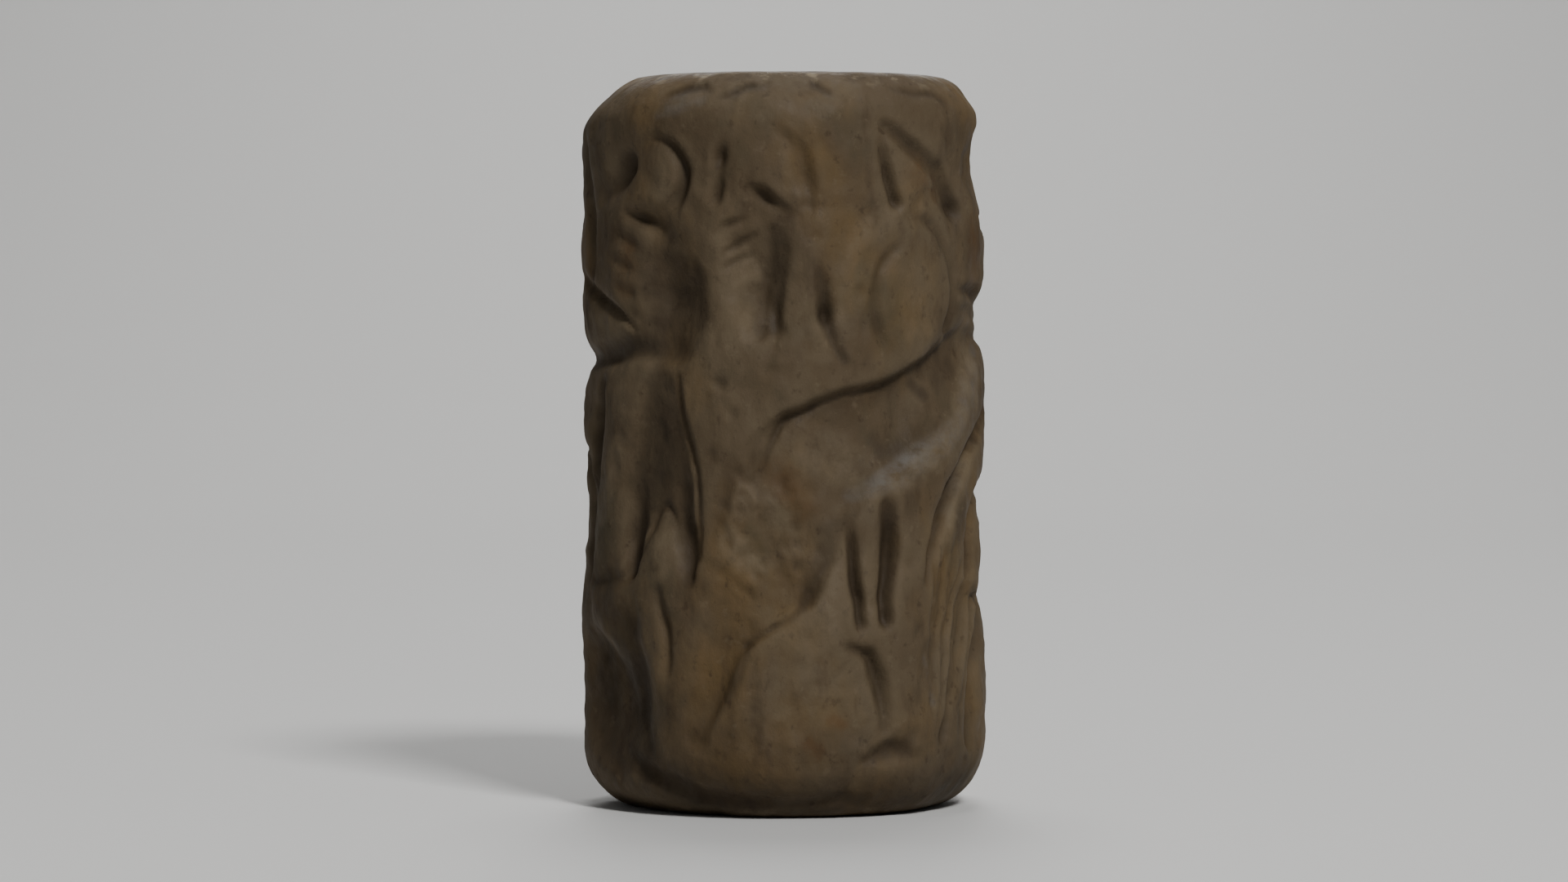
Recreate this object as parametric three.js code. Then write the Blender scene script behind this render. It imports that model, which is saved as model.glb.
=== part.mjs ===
// Cylinder seal: a stone cylinder with rounded ends, a frieze cut into its wall and a string hole.
// Millimetres, +Z up. It stands on its base at Z = 0, with the middle of the frieze's front facing -Y.
import * as THREE from 'three';

// Body
const HEIGHT = 22.2;
const RADIUS = 6.22;
const BASE_EDGE_IN = 1.6;
const BASE_EDGE_UP = 1.9;
const TOP_EDGE_IN = 1.5;
const TOP_EDGE_DOWN = 1.6;
const EDGE_FULLNESS = 1.8;

// String hole
const BORE_RADIUS = 1.6;
const MOUTH_WIDENING = 0.3;
const MOUTH_DEPTH = 0.5;

// Drawing of the frieze: one full turn is SHEET_TURN long and the seal's height is SHEET_HEIGHT high
const SHEET_TURN = 38;
const SHEET_HEIGHT = 22.2;
const SHEET_STEP = 0.1;

// Depths of the five kinds of cut, and how steeply each one's walls fall
const BODY = { depth: 0.6, wall: 0.62 };
const LIMB = { depth: 0.46, wall: 0.65 };
const LINE = { depth: 0.34, wall: 0.75 };
const WEAR = { depth: 0.3, wall: 1.3 };
const FLOOR = { depth: 0.44, wall: 0.36 };

// Rounding of the worn cuts
const ROUNDING = 0.16;
const LEAST_GIRTH = 0.3;

// Facets
const COLUMNS = 104;
const WALL_ROWS = 35;
const EDGE_ROWS = 4;
const CURVE_STEPS = 5;

// Frieze
// Each cut follows waypoints [along, up, half width, share of the kind's depth].
// A lean above 0 makes the wall on the left of its way steeper, below 0 the one on the right.
const cuts = [];

function cut(kind, waypoints, lean = 0) {
  cuts.push({ kind, lean, course: smoothCourse(waypoints) });
}

function bars(kind, first, last, count, halfLength, girth, rise) {
  for (let i = 0; i < count; i += 1) {
    const t = count > 1 ? i / (count - 1) : 0;
    const u = first[0] + (last[0] - first[0]) * t;
    const z = first[1] + (last[1] - first[1]) * t;
    cut(kind, [
      [u - halfLength, z - rise, girth * 0.5, 0.5],
      [u, z, girth, 1],
      [u + halfLength, z + rise, girth * 0.9, 0.9],
    ]);
  }
}

function bow(kind, centre, radii, from, to, girths, shares, lean = 0) {
  const waypoints = girths.map((girth, i) => {
    const turn = THREE.MathUtils.degToRad(from + ((to - from) * i) / (girths.length - 1));
    const u = centre[0] + radii[0] * Math.cos(turn);
    const z = centre[1] + radii[1] * Math.sin(turn);
    return [u, z, girth, shares[i]];
  });
  cut(kind, waypoints, lean);
}

function fan(kind, roots, tips, girth) {
  roots.forEach(([u, z], i) => {
    const [tipU, tipZ] = tips[i];
    const middle = [(u + tipU) / 2 + 0.15, (z + tipZ) / 2 + 0.15];
    cut(kind, [[u, z, girth * 0.6, 0.8], [...middle, girth, 1], [tipU, tipZ, girth * 0.4, 0.5]], 0.3);
  });
}

function smoothCourse(waypoints) {
  if (waypoints.length < 3) return waypoints;
  const blend = (a, b, c, d, t) => {
    return b + 0.5 * t * (c - a + t * (2 * a - 5 * b + 4 * c - d + t * (3 * (b - c) + d - a)));
  };
  const mirror = (end, next) => end.map((value, i) => (i < 2 ? 2 * value - next[i] : value));
  const last = waypoints.length - 1;
  const padded = [
    mirror(waypoints[0], waypoints[1]),
    ...waypoints,
    mirror(waypoints[last], waypoints[last - 1]),
  ];
  const course = [];
  for (let i = 0; i < last; i += 1) {
    const [a, b, c, d] = padded.slice(i, i + 4);
    for (let step = 0; step < CURVE_STEPS; step += 1) {
      const t = step / CURVE_STEPS;
      course.push(b.map((value, k) => blend(a[k], value, c[k], d[k], t)));
    }
  }
  course.push(waypoints[last]);
  return course;
}

// The man in a long kilt, his arm stretched out with a dagger
function man() {
  // head: a plain oval left standing inside the arc of the hair, a lock in front and a barred beard
  bow(LIMB, [-4.3, 19.05], [1.1, 1.1], 122, -80, [0.12, 0.14, 0.2, 0.26, 0.26, 0.16],
    [0.2, 0.4, 0.8, 1.0, 0.8, 0.3], 0.3);
  cut(WEAR, [[-6.9, 18.4, 0.3, 0.5], [-6.0, 19.0, 0.6, 1.4], [-5.3, 19.55, 0.6, 2.2]], -0.2);
  cut(LIMB, [[-5.5, 18.1, 0.15, 0.5], [-4.9, 17.95, 0.26, 1.2], [-4.15, 17.6, 0.3, 1]]);
  cut(LINE, [[-5.9, 17.3, 0.16, 0.4], [-5.2, 17.1, 0.26, 0.7], [-4.6, 16.9, 0.18, 0.5]]);
  cut(LINE, [[-6.1, 16.6, 0.16, 0.4], [-5.4, 16.35, 0.24, 0.6], [-4.9, 16.1, 0.16, 0.4]]);
  cut(LINE, [[-5.8, 15.8, 0.14, 0.4], [-5.1, 15.5, 0.24, 0.7]]);
  // shoulders and arms
  cut(WEAR, [[-3.8, 17.7, 0.8, 1.0], [-3.6, 16.4, 1.3, 1.7], [-3.5, 14.6, 1.3, 1.8]], -0.4);
  cut(BODY, [[-3.75, 17.1, 0.5, 0.5], [-3.45, 16.2, 0.95, 1.0], [-3.3, 15.35, 1.2, 1.4],
    [-3.6, 14.4, 0.95, 1.1]], -0.35);
  cut(LINE, [[-8.4, 16.2, 0.14, 0.5], [-7.2, 15.65, 0.24, 0.8], [-6.0, 15.0, 0.24, 0.9],
    [-5.05, 14.35, 0.2, 0.7]], 0.4);
  cut(BODY, [[-4.9, 14.0, 0.5, 0.7], [-4.3, 14.4, 0.7, 0.9], [-3.4, 15.2, 0.9, 1.2]], -0.1);
  cut(LIMB, [[-10.0, 13.4, 0.34, 0.6], [-8.6, 13.6, 0.36, 0.7], [-7.2, 13.75, 0.44, 1.0],
    [-5.2, 13.9, 0.5, 1.2], [-3.5, 13.95, 0.4, 1.0]], -0.3);
  cut(LIMB, [[-13, 13.35, 0.06, 0.4], [-11.4, 13.45, 0.38, 1], [-9.6, 13.6, 0.8, 1.2],
    [-8.9, 13.55, 0.4, 1]]);
  // kilt: a flat floor with a ridge on its left, parting over the point of its hem
  cut(FLOOR, [[-4.05, 13.3, 0.5, 0.7], [-4.1, 12.3, 0.88, 0.95], [-4.1, 11.0, 1.2, 1.0],
    [-4.25, 9.9, 1.5, 1.0]]);
  cut(FLOOR, [[-4.8, 10.0, 0.5, 1.0], [-5.1, 9.3, 0.5, 1.2], [-5.25, 8.5, 0.46, 1.1],
    [-5.3, 7.4, 0.3, 0.9]], -0.2);
  cut(FLOOR, [[-3.45, 10.1, 0.6, 1.0], [-3.3, 9.3, 0.54, 1.15], [-3.05, 8.3, 0.4, 1.2],
    [-2.85, 7.1, 0.2, 0.8]], 0.2);
  cut(LIMB, [[-7.0, 12.8, 0.35, 0.8], [-7.2, 11.7, 0.5, 1.0], [-7.5, 10.2, 0.45, 0.8],
    [-7.9, 8.3, 0.3, 0.6]], 0.3);
  cut(WEAR, [[-7.4, 6.9, 0.3, 0.5], [-6.3, 7.0, 0.4, 0.6], [-5.4, 7.2, 0.3, 0.8]]);
  cut(LINE, [[-5.25, 7.9, 0.16, 0.6], [-5.2, 7.4, 0.24, 1.6]]);
  // leg, and the open hollow in front of it
  cut(LINE, [[-3.9, 6.8, 0.16, 0.7], [-3.82, 5.7, 0.18, 1.0], [-3.7, 4.4, 0.13, 0.6]], 0.4);
  cut(BODY, [[-7.3, 4.3, 1.3, 0.8], [-6.6, 3.0, 1.7, 1.0], [-6.1, 1.9, 1.1, 0.7]], 0.5);
  cut(WEAR, [[-5.6, 5.6, 0.9, 0.9], [-5.4, 3.8, 1.2, 2.0], [-5.0, 2.0, 1.0, 1.4]], 0.2);
  cut(WEAR, [[-8.4, 20.6, 0.2, 0.4], [-7.9, 18.2, 0.45, 1], [-7.5, 16.3, 0.4, 1]]);
}

// The scorpion between the man's head and the horned goat
function scorpion() {
  cut(LINE, [[-1.75, 20.1, 0.1, 0.4], [-1.92, 19.6, 0.18, 1.2], [-2.0, 19.0, 0.12, 0.5],
    [-2.1, 18.3, 0.18, 1.2]]);
  cut(LINE, [[-0.3, 20.6, 0.14, 0.3], [0.35, 19.9, 0.26, 0.6], [0.58, 19.1, 0.26, 0.6],
    [0.7, 18.0, 0.2, 0.4]], 0.4);
  cut(LIMB, [[-1.1, 18.7, 0.16, 0.4], [-0.55, 18.42, 0.27, 1.2], [-0.2, 18.2, 0.24, 0.9],
    [0.2, 17.95, 0.16, 0.5]]);
  cut(WEAR, [[-1.0, 17.9, 0.7, 1.2], [-1.25, 16.8, 1.1, 2.2], [-1.3, 15.6, 1.0, 2.5],
    [-0.9, 14.5, 0.5, 1.6]], 0.7);
  cut(WEAR, [[-0.3, 17.8, 0.55, 1.0], [-0.35, 16.9, 0.65, 1.5], [-0.4, 15.9, 0.5, 1.8],
    [-0.35, 14.9, 0.3, 1.9], [-0.3, 14.4, 0.2, 1.3]], 0.1);
  cut(LINE, [[-0.35, 15.1, 0.12, 0.6], [-0.2, 14.55, 0.18, 1.5]]);
  cut(LINE, [[-1.75, 16.8, 0.1, 0.5], [-1.35, 17.1, 0.15, 1.0], [-1.0, 17.3, 0.12, 0.6]]);
  cut(LINE, [[-1.5, 16.35, 0.1, 0.4], [-1.2, 16.55, 0.14, 0.9], [-0.9, 16.75, 0.1, 0.5]]);
  cut(LINE, [[-2.0, 17.4, 0.1, 0.4], [-1.6, 17.7, 0.12, 0.7], [-1.2, 17.8, 0.1, 0.4]]);
  cut(LINE, [[-0.25, 14.6, 0.16, 1.0], [-0.4, 13.9, 0.12, 0.6], [-0.55, 13.3, 0.1, 0.3]], 0.3);
  cut(LINE, [[-2.15, 12.95, 0.14, 0.5], [-1.9, 12.85, 0.18, 0.7]]);
}

// The rearing goat, its horns curled back
function rearingGoat() {
  // body and thigh
  cut(BODY, [[8.4, 14.2, 0.5, 0.6], [6.7, 13.55, 0.85, 0.95], [4.7, 12.25, 1.2, 1.1],
    [2.7, 11.45, 1.42, 1.05], [0.9, 10.75, 1.6, 0.8], [0.2, 10.3, 1.6, 0.7]], -0.8);
  cut(BODY, [[1.6, 10.5, 1.5, 0.8], [0.6, 9.0, 1.5, 0.6], [-0.3, 7.5, 1.3, 0.65], [-1.1, 6.4, 0.9, 0.65]],
    0.6);
  cut(LIMB, [[-1.35, 6.4, 0.95, 0.85], [-1.95, 5.1, 0.75, 0.95], [-2.25, 3.9, 0.6, 0.8],
    [-2.75, 2.5, 0.4, 0.4]], 0.75);
  cut(WEAR, [[-0.9, 11.4, 0.3, 0.4], [-1.6, 10.2, 0.5, 0.7], [-2.2, 8.2, 0.4, 0.4]]);
  cut(LIMB, [[1.7, 8.5, 0.14, 0.5], [1.15, 7.5, 0.34, 0.9], [0.65, 6.7, 0.34, 1.1],
    [0.35, 6.25, 0.14, 0.6]], 0.3);
  // fore legs, knee, shin and hoof
  cut(LIMB, [[1.9, 8.7, 0.18, 0.8], [2.12, 7.1, 0.25, 1.5], [2.42, 5.7, 0.16, 1.1]], 0.4);
  cut(LIMB, [[3.1, 9.3, 0.36, 0.7], [3.25, 7.6, 0.42, 1.4], [3.15, 5.9, 0.24, 1.1]], 0.3);
  cut(LIMB, [[1.95, 5.0, 0.13, 0.6], [2.6, 4.85, 0.16, 0.9], [2.95, 4.3, 0.17, 0.9]]);
  cut(LIMB, [[2.6, 4.9, 0.22, 0.7], [2.9, 3.9, 0.28, 0.9], [3.0, 2.8, 0.2, 0.6]], 0.75);
  cut(LINE, [[2.4, 1.85, 0.16, 0.4], [3.4, 2.1, 0.42, 0.85], [4.4, 1.9, 0.16, 0.4]], 0.3);
  // horns: the outer one ends in a deep pit
  bow(LINE, [4.45, 15.5], [3.35, 3], 118, 216, [0.24, 0.34, 0.34, 0.24, 0.16, 0.11],
    [0.15, 0.2, 0.25, 0.6, 1.0, 0.8], 0.1);
  cut(LINE, [[1.1, 15.5, 0.18, 1.0], [1.2, 14.95, 0.26, 2.2]]);
  cut(WEAR, [[1.1, 16.6, 0.35, 0.3], [1.05, 15.9, 0.38, 0.8], [1.2, 15.2, 0.35, 0.9]]);
  bow(LINE, [4.5, 15.4], [1.8, 1.95], 112, 232, [0.1, 0.14, 0.16, 0.15, 0.14, 0.1],
    [0.3, 0.7, 0.6, 0.6, 0.7, 0.4], 0.4);
  // head and neck
  cut(LIMB, [[2.95, 20.5, 0.18, 0.5], [4.2, 19.75, 0.34, 0.8], [5.3, 19.0, 0.4, 0.9],
    [6.15, 18.1, 0.38, 1.3]], 0.3);
  cut(LIMB, [[2.95, 20.1, 0.12, 0.5], [3.15, 19.2, 0.17, 1.0], [3.55, 18.25, 0.18, 1.1]], 0.2);
  cut(LINE, [[4.1, 18.2, 0.2, 0.5], [4.9, 18.5, 0.3, 0.7], [5.8, 18.1, 0.34, 1.2]]);
  cut(LINE, [[3.9, 17.95, 0.14, 0.5], [4.9, 17.6, 0.24, 0.8], [5.7, 16.7, 0.2, 0.8],
    [6, 15.6, 0.16, 0.7]], -0.3);
  cut(WEAR, [[5.95, 18.2, 0.6, 1], [6.1, 16.8, 0.35, 0.6], [6.1, 15.2, 0.45, 1.2],
    [5.9, 14.5, 0.45, 1.6]]);
}

// The lion that holds the rearing goat, its head to the left
function rightLion() {
  cut(BODY, [[7.3, 19.4, 0.9, 0.5], [8.9, 19.6, 1.4, 0.68], [10.6, 19.3, 1.45, 0.75]], 0.2);
  cut(LINE, [[10.2, 19.5, 0.8, 1.2], [12, 19, 0.5, 0.8], [14, 18.75, 0.15, 0.3]]);
  cut(LIMB, [[8.2, 17.95, 0.14, 0.7], [9.6, 17.8, 0.3, 1], [11, 17.95, 0.2, 0.8]]);
  cut(LIMB, [[9.3, 15.3, 0.35, 1.1], [10.6, 15.75, 0.48, 1.1], [11.6, 16.6, 0.42, 1],
    [13.1, 17.25, 0.15, 0.4]], 0.3);
  fan(LIMB, [[9.7, 15.0], [9.7, 14.75], [10, 14.15]], [[6.0, 15.75], [6.1, 15.0], [5.8, 14.45]], 0.3);
  cut(WEAR, [[7.5, 14.9, 0.6, 0.8], [9.6, 14.7, 0.75, 1.4], [11.2, 14.6, 0.7, 1.2]]);
  fan(LIMB, [[12.1, 18.5], [12.5, 17], [12, 16.1], [11.3, 15.3], [10.4, 14.5]], [[14.5, 17.2],
    [14.4, 15.5], [14.1, 13.9], [13.2, 13], [12.2, 12.2]], 0.42);
  cut(BODY, [[12.6, 13.6, 1.2, 0.7], [14.6, 11.9, 1.5, 0.85], [16.5, 10, 1.55, 0.9],
    [18.2, 8.1, 1.6, 0.95], [19.4, 6.3, 1.3, 0.85]], -0.1);
  cut(LIMB, [[19.3, 6.6, 1.1, 1.1], [20, 4.9, 0.65, 0.9], [20.6, 3.5, 0.4, 0.8], [21, 2.4, 0.34, 0.7]]);
  cut(LIMB, [[15.5, 7.7, 0.5, 0.9], [15.8, 6, 0.5, 0.9], [16.2, 4.4, 0.35, 0.8]], 0.3);
  cut(LIMB, [[16.3, 4.5, 0.35, 0.8], [15.9, 3.2, 0.42, 0.9], [15.2, 2.1, 0.3, 0.7]], 0.3);
  cut(LINE, [[19.4, 10, 0.3, 0.9], [20.4, 9.4, 0.24, 0.8], [21.1, 8, 0.22, 0.7], [21.8, 6.4, 0.2, 0.6],
    [22.3, 3.2, 0.12, 0.3]]);
}

// The lion that crosses the other, its head to the right
function leftLion() {
  // two long lines of its tail, the second with the fine grooves beside it
  cut(LIMB, [[9.4, 12, 0.22, 0.7], [8.1, 11.3, 0.34, 0.95], [6.8, 10.5, 0.34, 0.95], [5.7, 9.4, 0.3, 0.8],
    [5.0, 8.3, 0.26, 0.6], [4.7, 7.0, 0.2, 0.4]], -0.5);
  cut(LIMB, [[9.9, 9.75, 0.35, 0.9], [8.3, 9.45, 0.42, 0.95], [7.35, 8.5, 0.36, 0.8],
    [6.85, 6.9, 0.26, 0.65], [6.3, 5.1, 0.22, 0.7], [5.45, 2.2, 0.18, 0.6]], 0.3);
  // body, hind legs and tail root
  cut(BODY, [[18.6, 13.8, 0.9, 0.7], [16.6, 12.7, 1.45, 0.85], [14.6, 11.2, 1.55, 0.85],
    [12.4, 9.9, 1.5, 0.9], [10.3, 8.2, 1.65, 1]], 0.2);
  cut(BODY, [[10.4, 8.4, 1.5, 0.95], [9.3, 6.7, 1.15, 0.85], [8.1, 5.1, 0.75, 0.8],
    [7.4, 4.3, 0.5, 0.75]], 0.3);
  cut(LIMB, [[7.5, 4.5, 0.5, 1], [7.35, 3.3, 0.5, 0.9], [7.05, 2.1, 0.35, 0.8]], 0.3);
  cut(LIMB, [[11.9, 7.5, 0.55, 0.9], [12, 5.6, 0.5, 0.9], [12.25, 4.3, 0.3, 0.75]], 0.3);
  cut(LINE, [[12.2, 4.1, 0.3, 0.8], [12.6, 3.2, 0.34, 0.9], [13.1, 2.3, 0.3, 0.8]]);
  bars(LINE, [10.9, 10.45], [10.9, 10.45], 1, 0.6, 0.24, 0.1);
  bars(LINE, [18.7, 11.5], [18.7, 10.1], 3, 0.35, 0.28, 0.1);
  // head, shoulder, mane and paws
  cut(BODY, [[-16.6, 18.4, 0.5, 0.65], [-15.8, 17.9, 0.85, 0.85], [-15.3, 17.3, 0.7, 0.8]]);
  bars(LINE, [-17.6, 18.75], [-17.3, 17.05], 2, 0.75, 0.24, 0);
  bars(LINE, [17.2, 16.4], [17.2, 16.4], 1, 1, 0.34, 0.2);
  cut(LINE, [[16.8, 13.6, 0.2, 1], [18.7, 14.9, 0.28, 1]]);
  cut(LINE, [[16.9, 13.2, 0.2, 1], [19, 12.2, 0.4, 1.1]]);
  bars(LIMB, [-16.4, 14.3], [-15.6, 12.3], 4, 2, 0.3, -0.25);
}

// The goat behind the man, seized by the left lion
function standingGoat() {
  cut(LIMB, [[-12.6, 17.5, 0.45, 1.1], [-11.8, 18.5, 0.45, 1.1], [-10.7, 18.95, 0.42, 1],
    [-10.1, 19.9, 0.12, 0.4]], -0.2);
  cut(LIMB, [[-12.6, 17.5, 0.35, 0.9], [-13.5, 18.35, 0.14, 0.5]]);
  cut(LINE, [[-11.9, 17.4, 0.22, 1], [-10.7, 16.8, 0.28, 1], [-9.2, 16, 0.2, 0.9]]);
  cut(LIMB, [[-12.7, 15.25, 0.24, 0.9], [-11, 15.45, 0.34, 1], [-9, 15.95, 0.24, 0.9]], 0.3);
  cut(LIMB, [[-12.5, 17.4, 0.6, 1.1], [-13.5, 16.3, 0.75, 1.1], [-14.4, 14.8, 0.5, 0.9]], 0.3);
  cut(LIMB, [[-12.6, 15.9, 0.25, 0.9], [-12.8, 14.2, 0.26, 0.9], [-12.9, 12.2, 0.14, 0.4]]);
  cut(BODY, [[-15.6, 12.2, 0.9, 0.6], [-13.8, 11, 1.3, 0.8], [-12, 10, 1.45, 0.9],
    [-10.4, 8.9, 1.4, 0.85]], 0.1);
  cut(LIMB, [[-10.5, 9.4, 1.3, 1.1], [-10.1, 7.3, 0.95, 1], [-10.3, 5.6, 0.7, 0.9],
    [-10.5, 4.4, 0.5, 0.85]], 0.2);
  cut(LIMB, [[-10.6, 4.6, 0.45, 0.8], [-10.4, 3.6, 0.35, 0.8], [-10, 2.6, 0.3, 0.75]]);
  cut(LIMB, [[-12.5, 8.2, 0.8, 0.9], [-13, 6.3, 0.6, 0.9], [-13.5, 4.4, 0.42, 0.8],
    [-13.3, 2.6, 0.3, 0.7]]);
  cut(LINE, [[-10.6, 11.05, 0.25, 0.9], [-9.4, 10.95, 0.32, 1], [-8.4, 10, 0.36, 1.2],
    [-7.85, 8.3, 0.34, 1], [-8.0, 6.9, 0.16, 0.6]], 0.3);
}

// The worn and chipped places of the wall that belong to no figure
function wear() {
  cut(WEAR, [[-13.0, 22.4, 1.4, 1.0], [-9.6, 22.5, 2.1, 2.4], [-6.6, 22.5, 1.3, 1.0]]);
  cut(WEAR, [[-11.7, 22.2, 0.7, 1.3], [-11.5, 21.3, 0.5, 0.7]]);
  cut(WEAR, [[-6.2, 22.2, 0.5, 0.9], [-2.9, 22.3, 0.5, 0.8]]);
  cut(WEAR, [[2.0, 22.3, 0.4, 0.8], [2.6, 22.1, 0.3, 0.6]]);
  cut(WEAR, [[-7.2, 2.5, 0.3, 0.6], [-5.6, 1.45, 0.55, 1.7], [-3.8, 0.92, 0.5, 1.5],
    [-1.8, 0.6, 0.4, 1.1], [0.5, 0.45, 0.35, 0.8], [2.8, 0.5, 0.3, 0.5]], 0.4);
  cut(WEAR, [[7.6, 21.5, 0.5, 0.5], [9.4, 21.4, 0.8, 1.2], [11.2, 21.6, 0.7, 0.8]]);
  cut(WEAR, [[-7.2, 0, 0.6, 0.8], [-4.8, -0.1, 0.5, 0.9], [-2.4, 0, 0.5, 0.8]]);
  cut(WEAR, [[10, 0.2, 0.7, 0.8], [12.2, 0.1, 0.9, 0.9]]);
  cut(LINE, [[6.9, 12.9, 0.16, 0.6], [6.4, 13.9, 0.2, 1.1], [6.0, 14.4, 0.2, 1.3]]);
}

// Depth of one cut at a place on the sheet: nearest stretch of its course, then its section there
function depthOfCut({ kind, lean, course }, u, z) {
  let near = null;
  for (let i = 0; i + 1 < course.length; i += 1) {
    const [au, az, aw, ad] = course[i];
    const [bu, bz, bw, bd] = course[i + 1];
    const du = bu - au;
    const dz = bz - az;
    const length = Math.hypot(du, dz);
    const t = Math.min(1, Math.max(0, ((u - au) * du + (z - az) * dz) / (length * length)));
    const away = Math.hypot(u - au - t * du, z - az - t * dz);
    const girth = aw + t * (bw - aw);
    const x = away / Math.max(girth, LEAST_GIRTH);
    if (near && x >= near.x) continue;
    const thin = Math.min(1, girth / LEAST_GIRTH);
    const across = (du * (z - az) - dz * (u - au)) / length;
    near = { x, share: (ad + t * (bd - ad)) * thin, side: away > 1e-9 ? across / away : 0 };
  }
  if (near.x >= 1) return 0;
  const bias = lean * near.side;
  const q = near.x > bias ? (near.x - bias) / (1 - bias) : (bias - near.x) / (1 + bias);
  return kind.depth * near.share * (1 - q * q) ** kind.wall;
}

// Sheet of depths: ACROSS steps go once round the seal, UP steps go from base to top
const ACROSS = Math.round(SHEET_TURN / SHEET_STEP);
const UP = Math.round(SHEET_HEIGHT / SHEET_STEP);

function carveSheet() {
  const sheet = new Float64Array(ACROSS * (UP + 1));
  for (const one of cuts) {
    const reach = Math.max(LEAST_GIRTH, ...one.course.map((point) => point[2]));
    const span = (axis, step) => {
      const places = one.course.map((point) => point[axis]);
      return [
        Math.floor((Math.min(...places) - reach) / step),
        Math.ceil((Math.max(...places) + reach) / step),
      ];
    };
    const [left, right] = span(0, SHEET_STEP);
    const [low, high] = span(1, SHEET_STEP);
    for (let i = left; i <= right; i += 1) {
      const column = ((i % ACROSS) + ACROSS) % ACROSS;
      for (let j = Math.max(0, low); j <= Math.min(UP, high); j += 1) {
        const depth = depthOfCut(one, i * SHEET_STEP, j * SHEET_STEP);
        const place = column * (UP + 1) + j;
        sheet[place] = Math.max(sheet[place], depth);
      }
    }
  }
  return sheet;
}

// Wear: every depth becomes the mean of those around it, weighted by a bell ROUNDING wide
function worn(sheet) {
  const reach = Math.ceil((3 * ROUNDING) / SHEET_STEP);
  const weights = [];
  for (let k = -reach; k <= reach; k += 1) {
    weights.push(Math.exp(-0.5 * ((k * SHEET_STEP) / ROUNDING) ** 2));
  }
  const total = weights.reduce((sum, weight) => sum + weight, 0);
  const pass = (source, neighbour) => {
    const result = new Float64Array(source.length);
    for (let i = 0; i < ACROSS; i += 1) {
      for (let j = 0; j <= UP; j += 1) {
        let sum = 0;
        weights.forEach((weight, k) => {
          sum += weight * source[neighbour(i, j, k - reach)];
        });
        result[i * (UP + 1) + j] = sum / total;
      }
    }
    return result;
  };
  const along = pass(sheet, (i, j, k) => ((i + k + ACROSS) % ACROSS) * (UP + 1) + j);
  return pass(along, (i, j, k) => i * (UP + 1) + Math.min(UP, Math.max(0, j + k)));
}

// Depth of the frieze at a place on the wall
function carvedDepth(turn, height) {
  const x = (((turn / (2 * Math.PI)) % 1) + 1) * ACROSS;
  const y = Math.min(UP - 1e-6, Math.max(0, (height / HEIGHT) * UP));
  const i = Math.floor(x);
  const j = Math.floor(y);
  const at = (column, row) => frieze[(column % ACROSS) * (UP + 1) + row];
  const { lerp } = THREE.MathUtils;
  const low = lerp(at(i, j), at(i + 1, j), x - i);
  const high = lerp(at(i, j + 1), at(i + 1, j + 1), x - i);
  return lerp(low, high, y - j);
}

// Outline of the body
function edge(t, inward) {
  return inward * (1 - (1 - (1 - t) ** EDGE_FULLNESS) ** (1 / EDGE_FULLNESS));
}

function outline() {
  const points = [];
  for (let i = 0; i < EDGE_ROWS; i += 1) {
    const t = (i / EDGE_ROWS) ** 1.5;
    points.push([RADIUS - edge(t, BASE_EDGE_IN), BASE_EDGE_UP * t]);
  }
  const straight = HEIGHT - BASE_EDGE_UP - TOP_EDGE_DOWN;
  for (let i = 0; i <= WALL_ROWS; i += 1) {
    points.push([RADIUS, BASE_EDGE_UP + (straight * i) / WALL_ROWS]);
  }
  for (let i = EDGE_ROWS - 1; i >= 0; i -= 1) {
    const t = (i / EDGE_ROWS) ** 1.5;
    points.push([RADIUS - edge(t, TOP_EDGE_IN), HEIGHT - TOP_EDGE_DOWN * t]);
  }
  return points;
}

function boreOutline() {
  return [
    [BORE_RADIUS + MOUTH_WIDENING, HEIGHT],
    [BORE_RADIUS, HEIGHT - MOUTH_DEPTH],
    [BORE_RADIUS, MOUTH_DEPTH],
    [BORE_RADIUS + MOUTH_WIDENING, 0],
  ];
}

// Solid: a turned body whose wall is moved inward by the depth of the frieze
function sealGeometry() {
  const outer = outline();
  const profile = [...outer, ...boreOutline(), outer[0]].map(([r, h]) => new THREE.Vector2(r, h));
  const geometry = new THREE.LatheGeometry(profile, COLUMNS);
  geometry.rotateX(Math.PI / 2);
  const position = geometry.attributes.position;
  const rows = profile.length;
  for (let column = 0; column <= COLUMNS; column += 1) {
    const turn = ((column % COLUMNS) / COLUMNS) * 2 * Math.PI;
    for (let row = 0; row < rows; row += 1) {
      const onWall = row < outer.length || row === rows - 1;
      if (!onWall) continue;
      const { x: radius, y: height } = profile[row];
      const carved = radius - carvedDepth(turn, height);
      position.setXYZ(column * rows + row, carved * Math.sin(turn), -carved * Math.cos(turn), height);
    }
  }
  geometry.setIndex(facets(profile, outer.length, rows));
  geometry.computeVertexNormals();
  return geometry;
}

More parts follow.
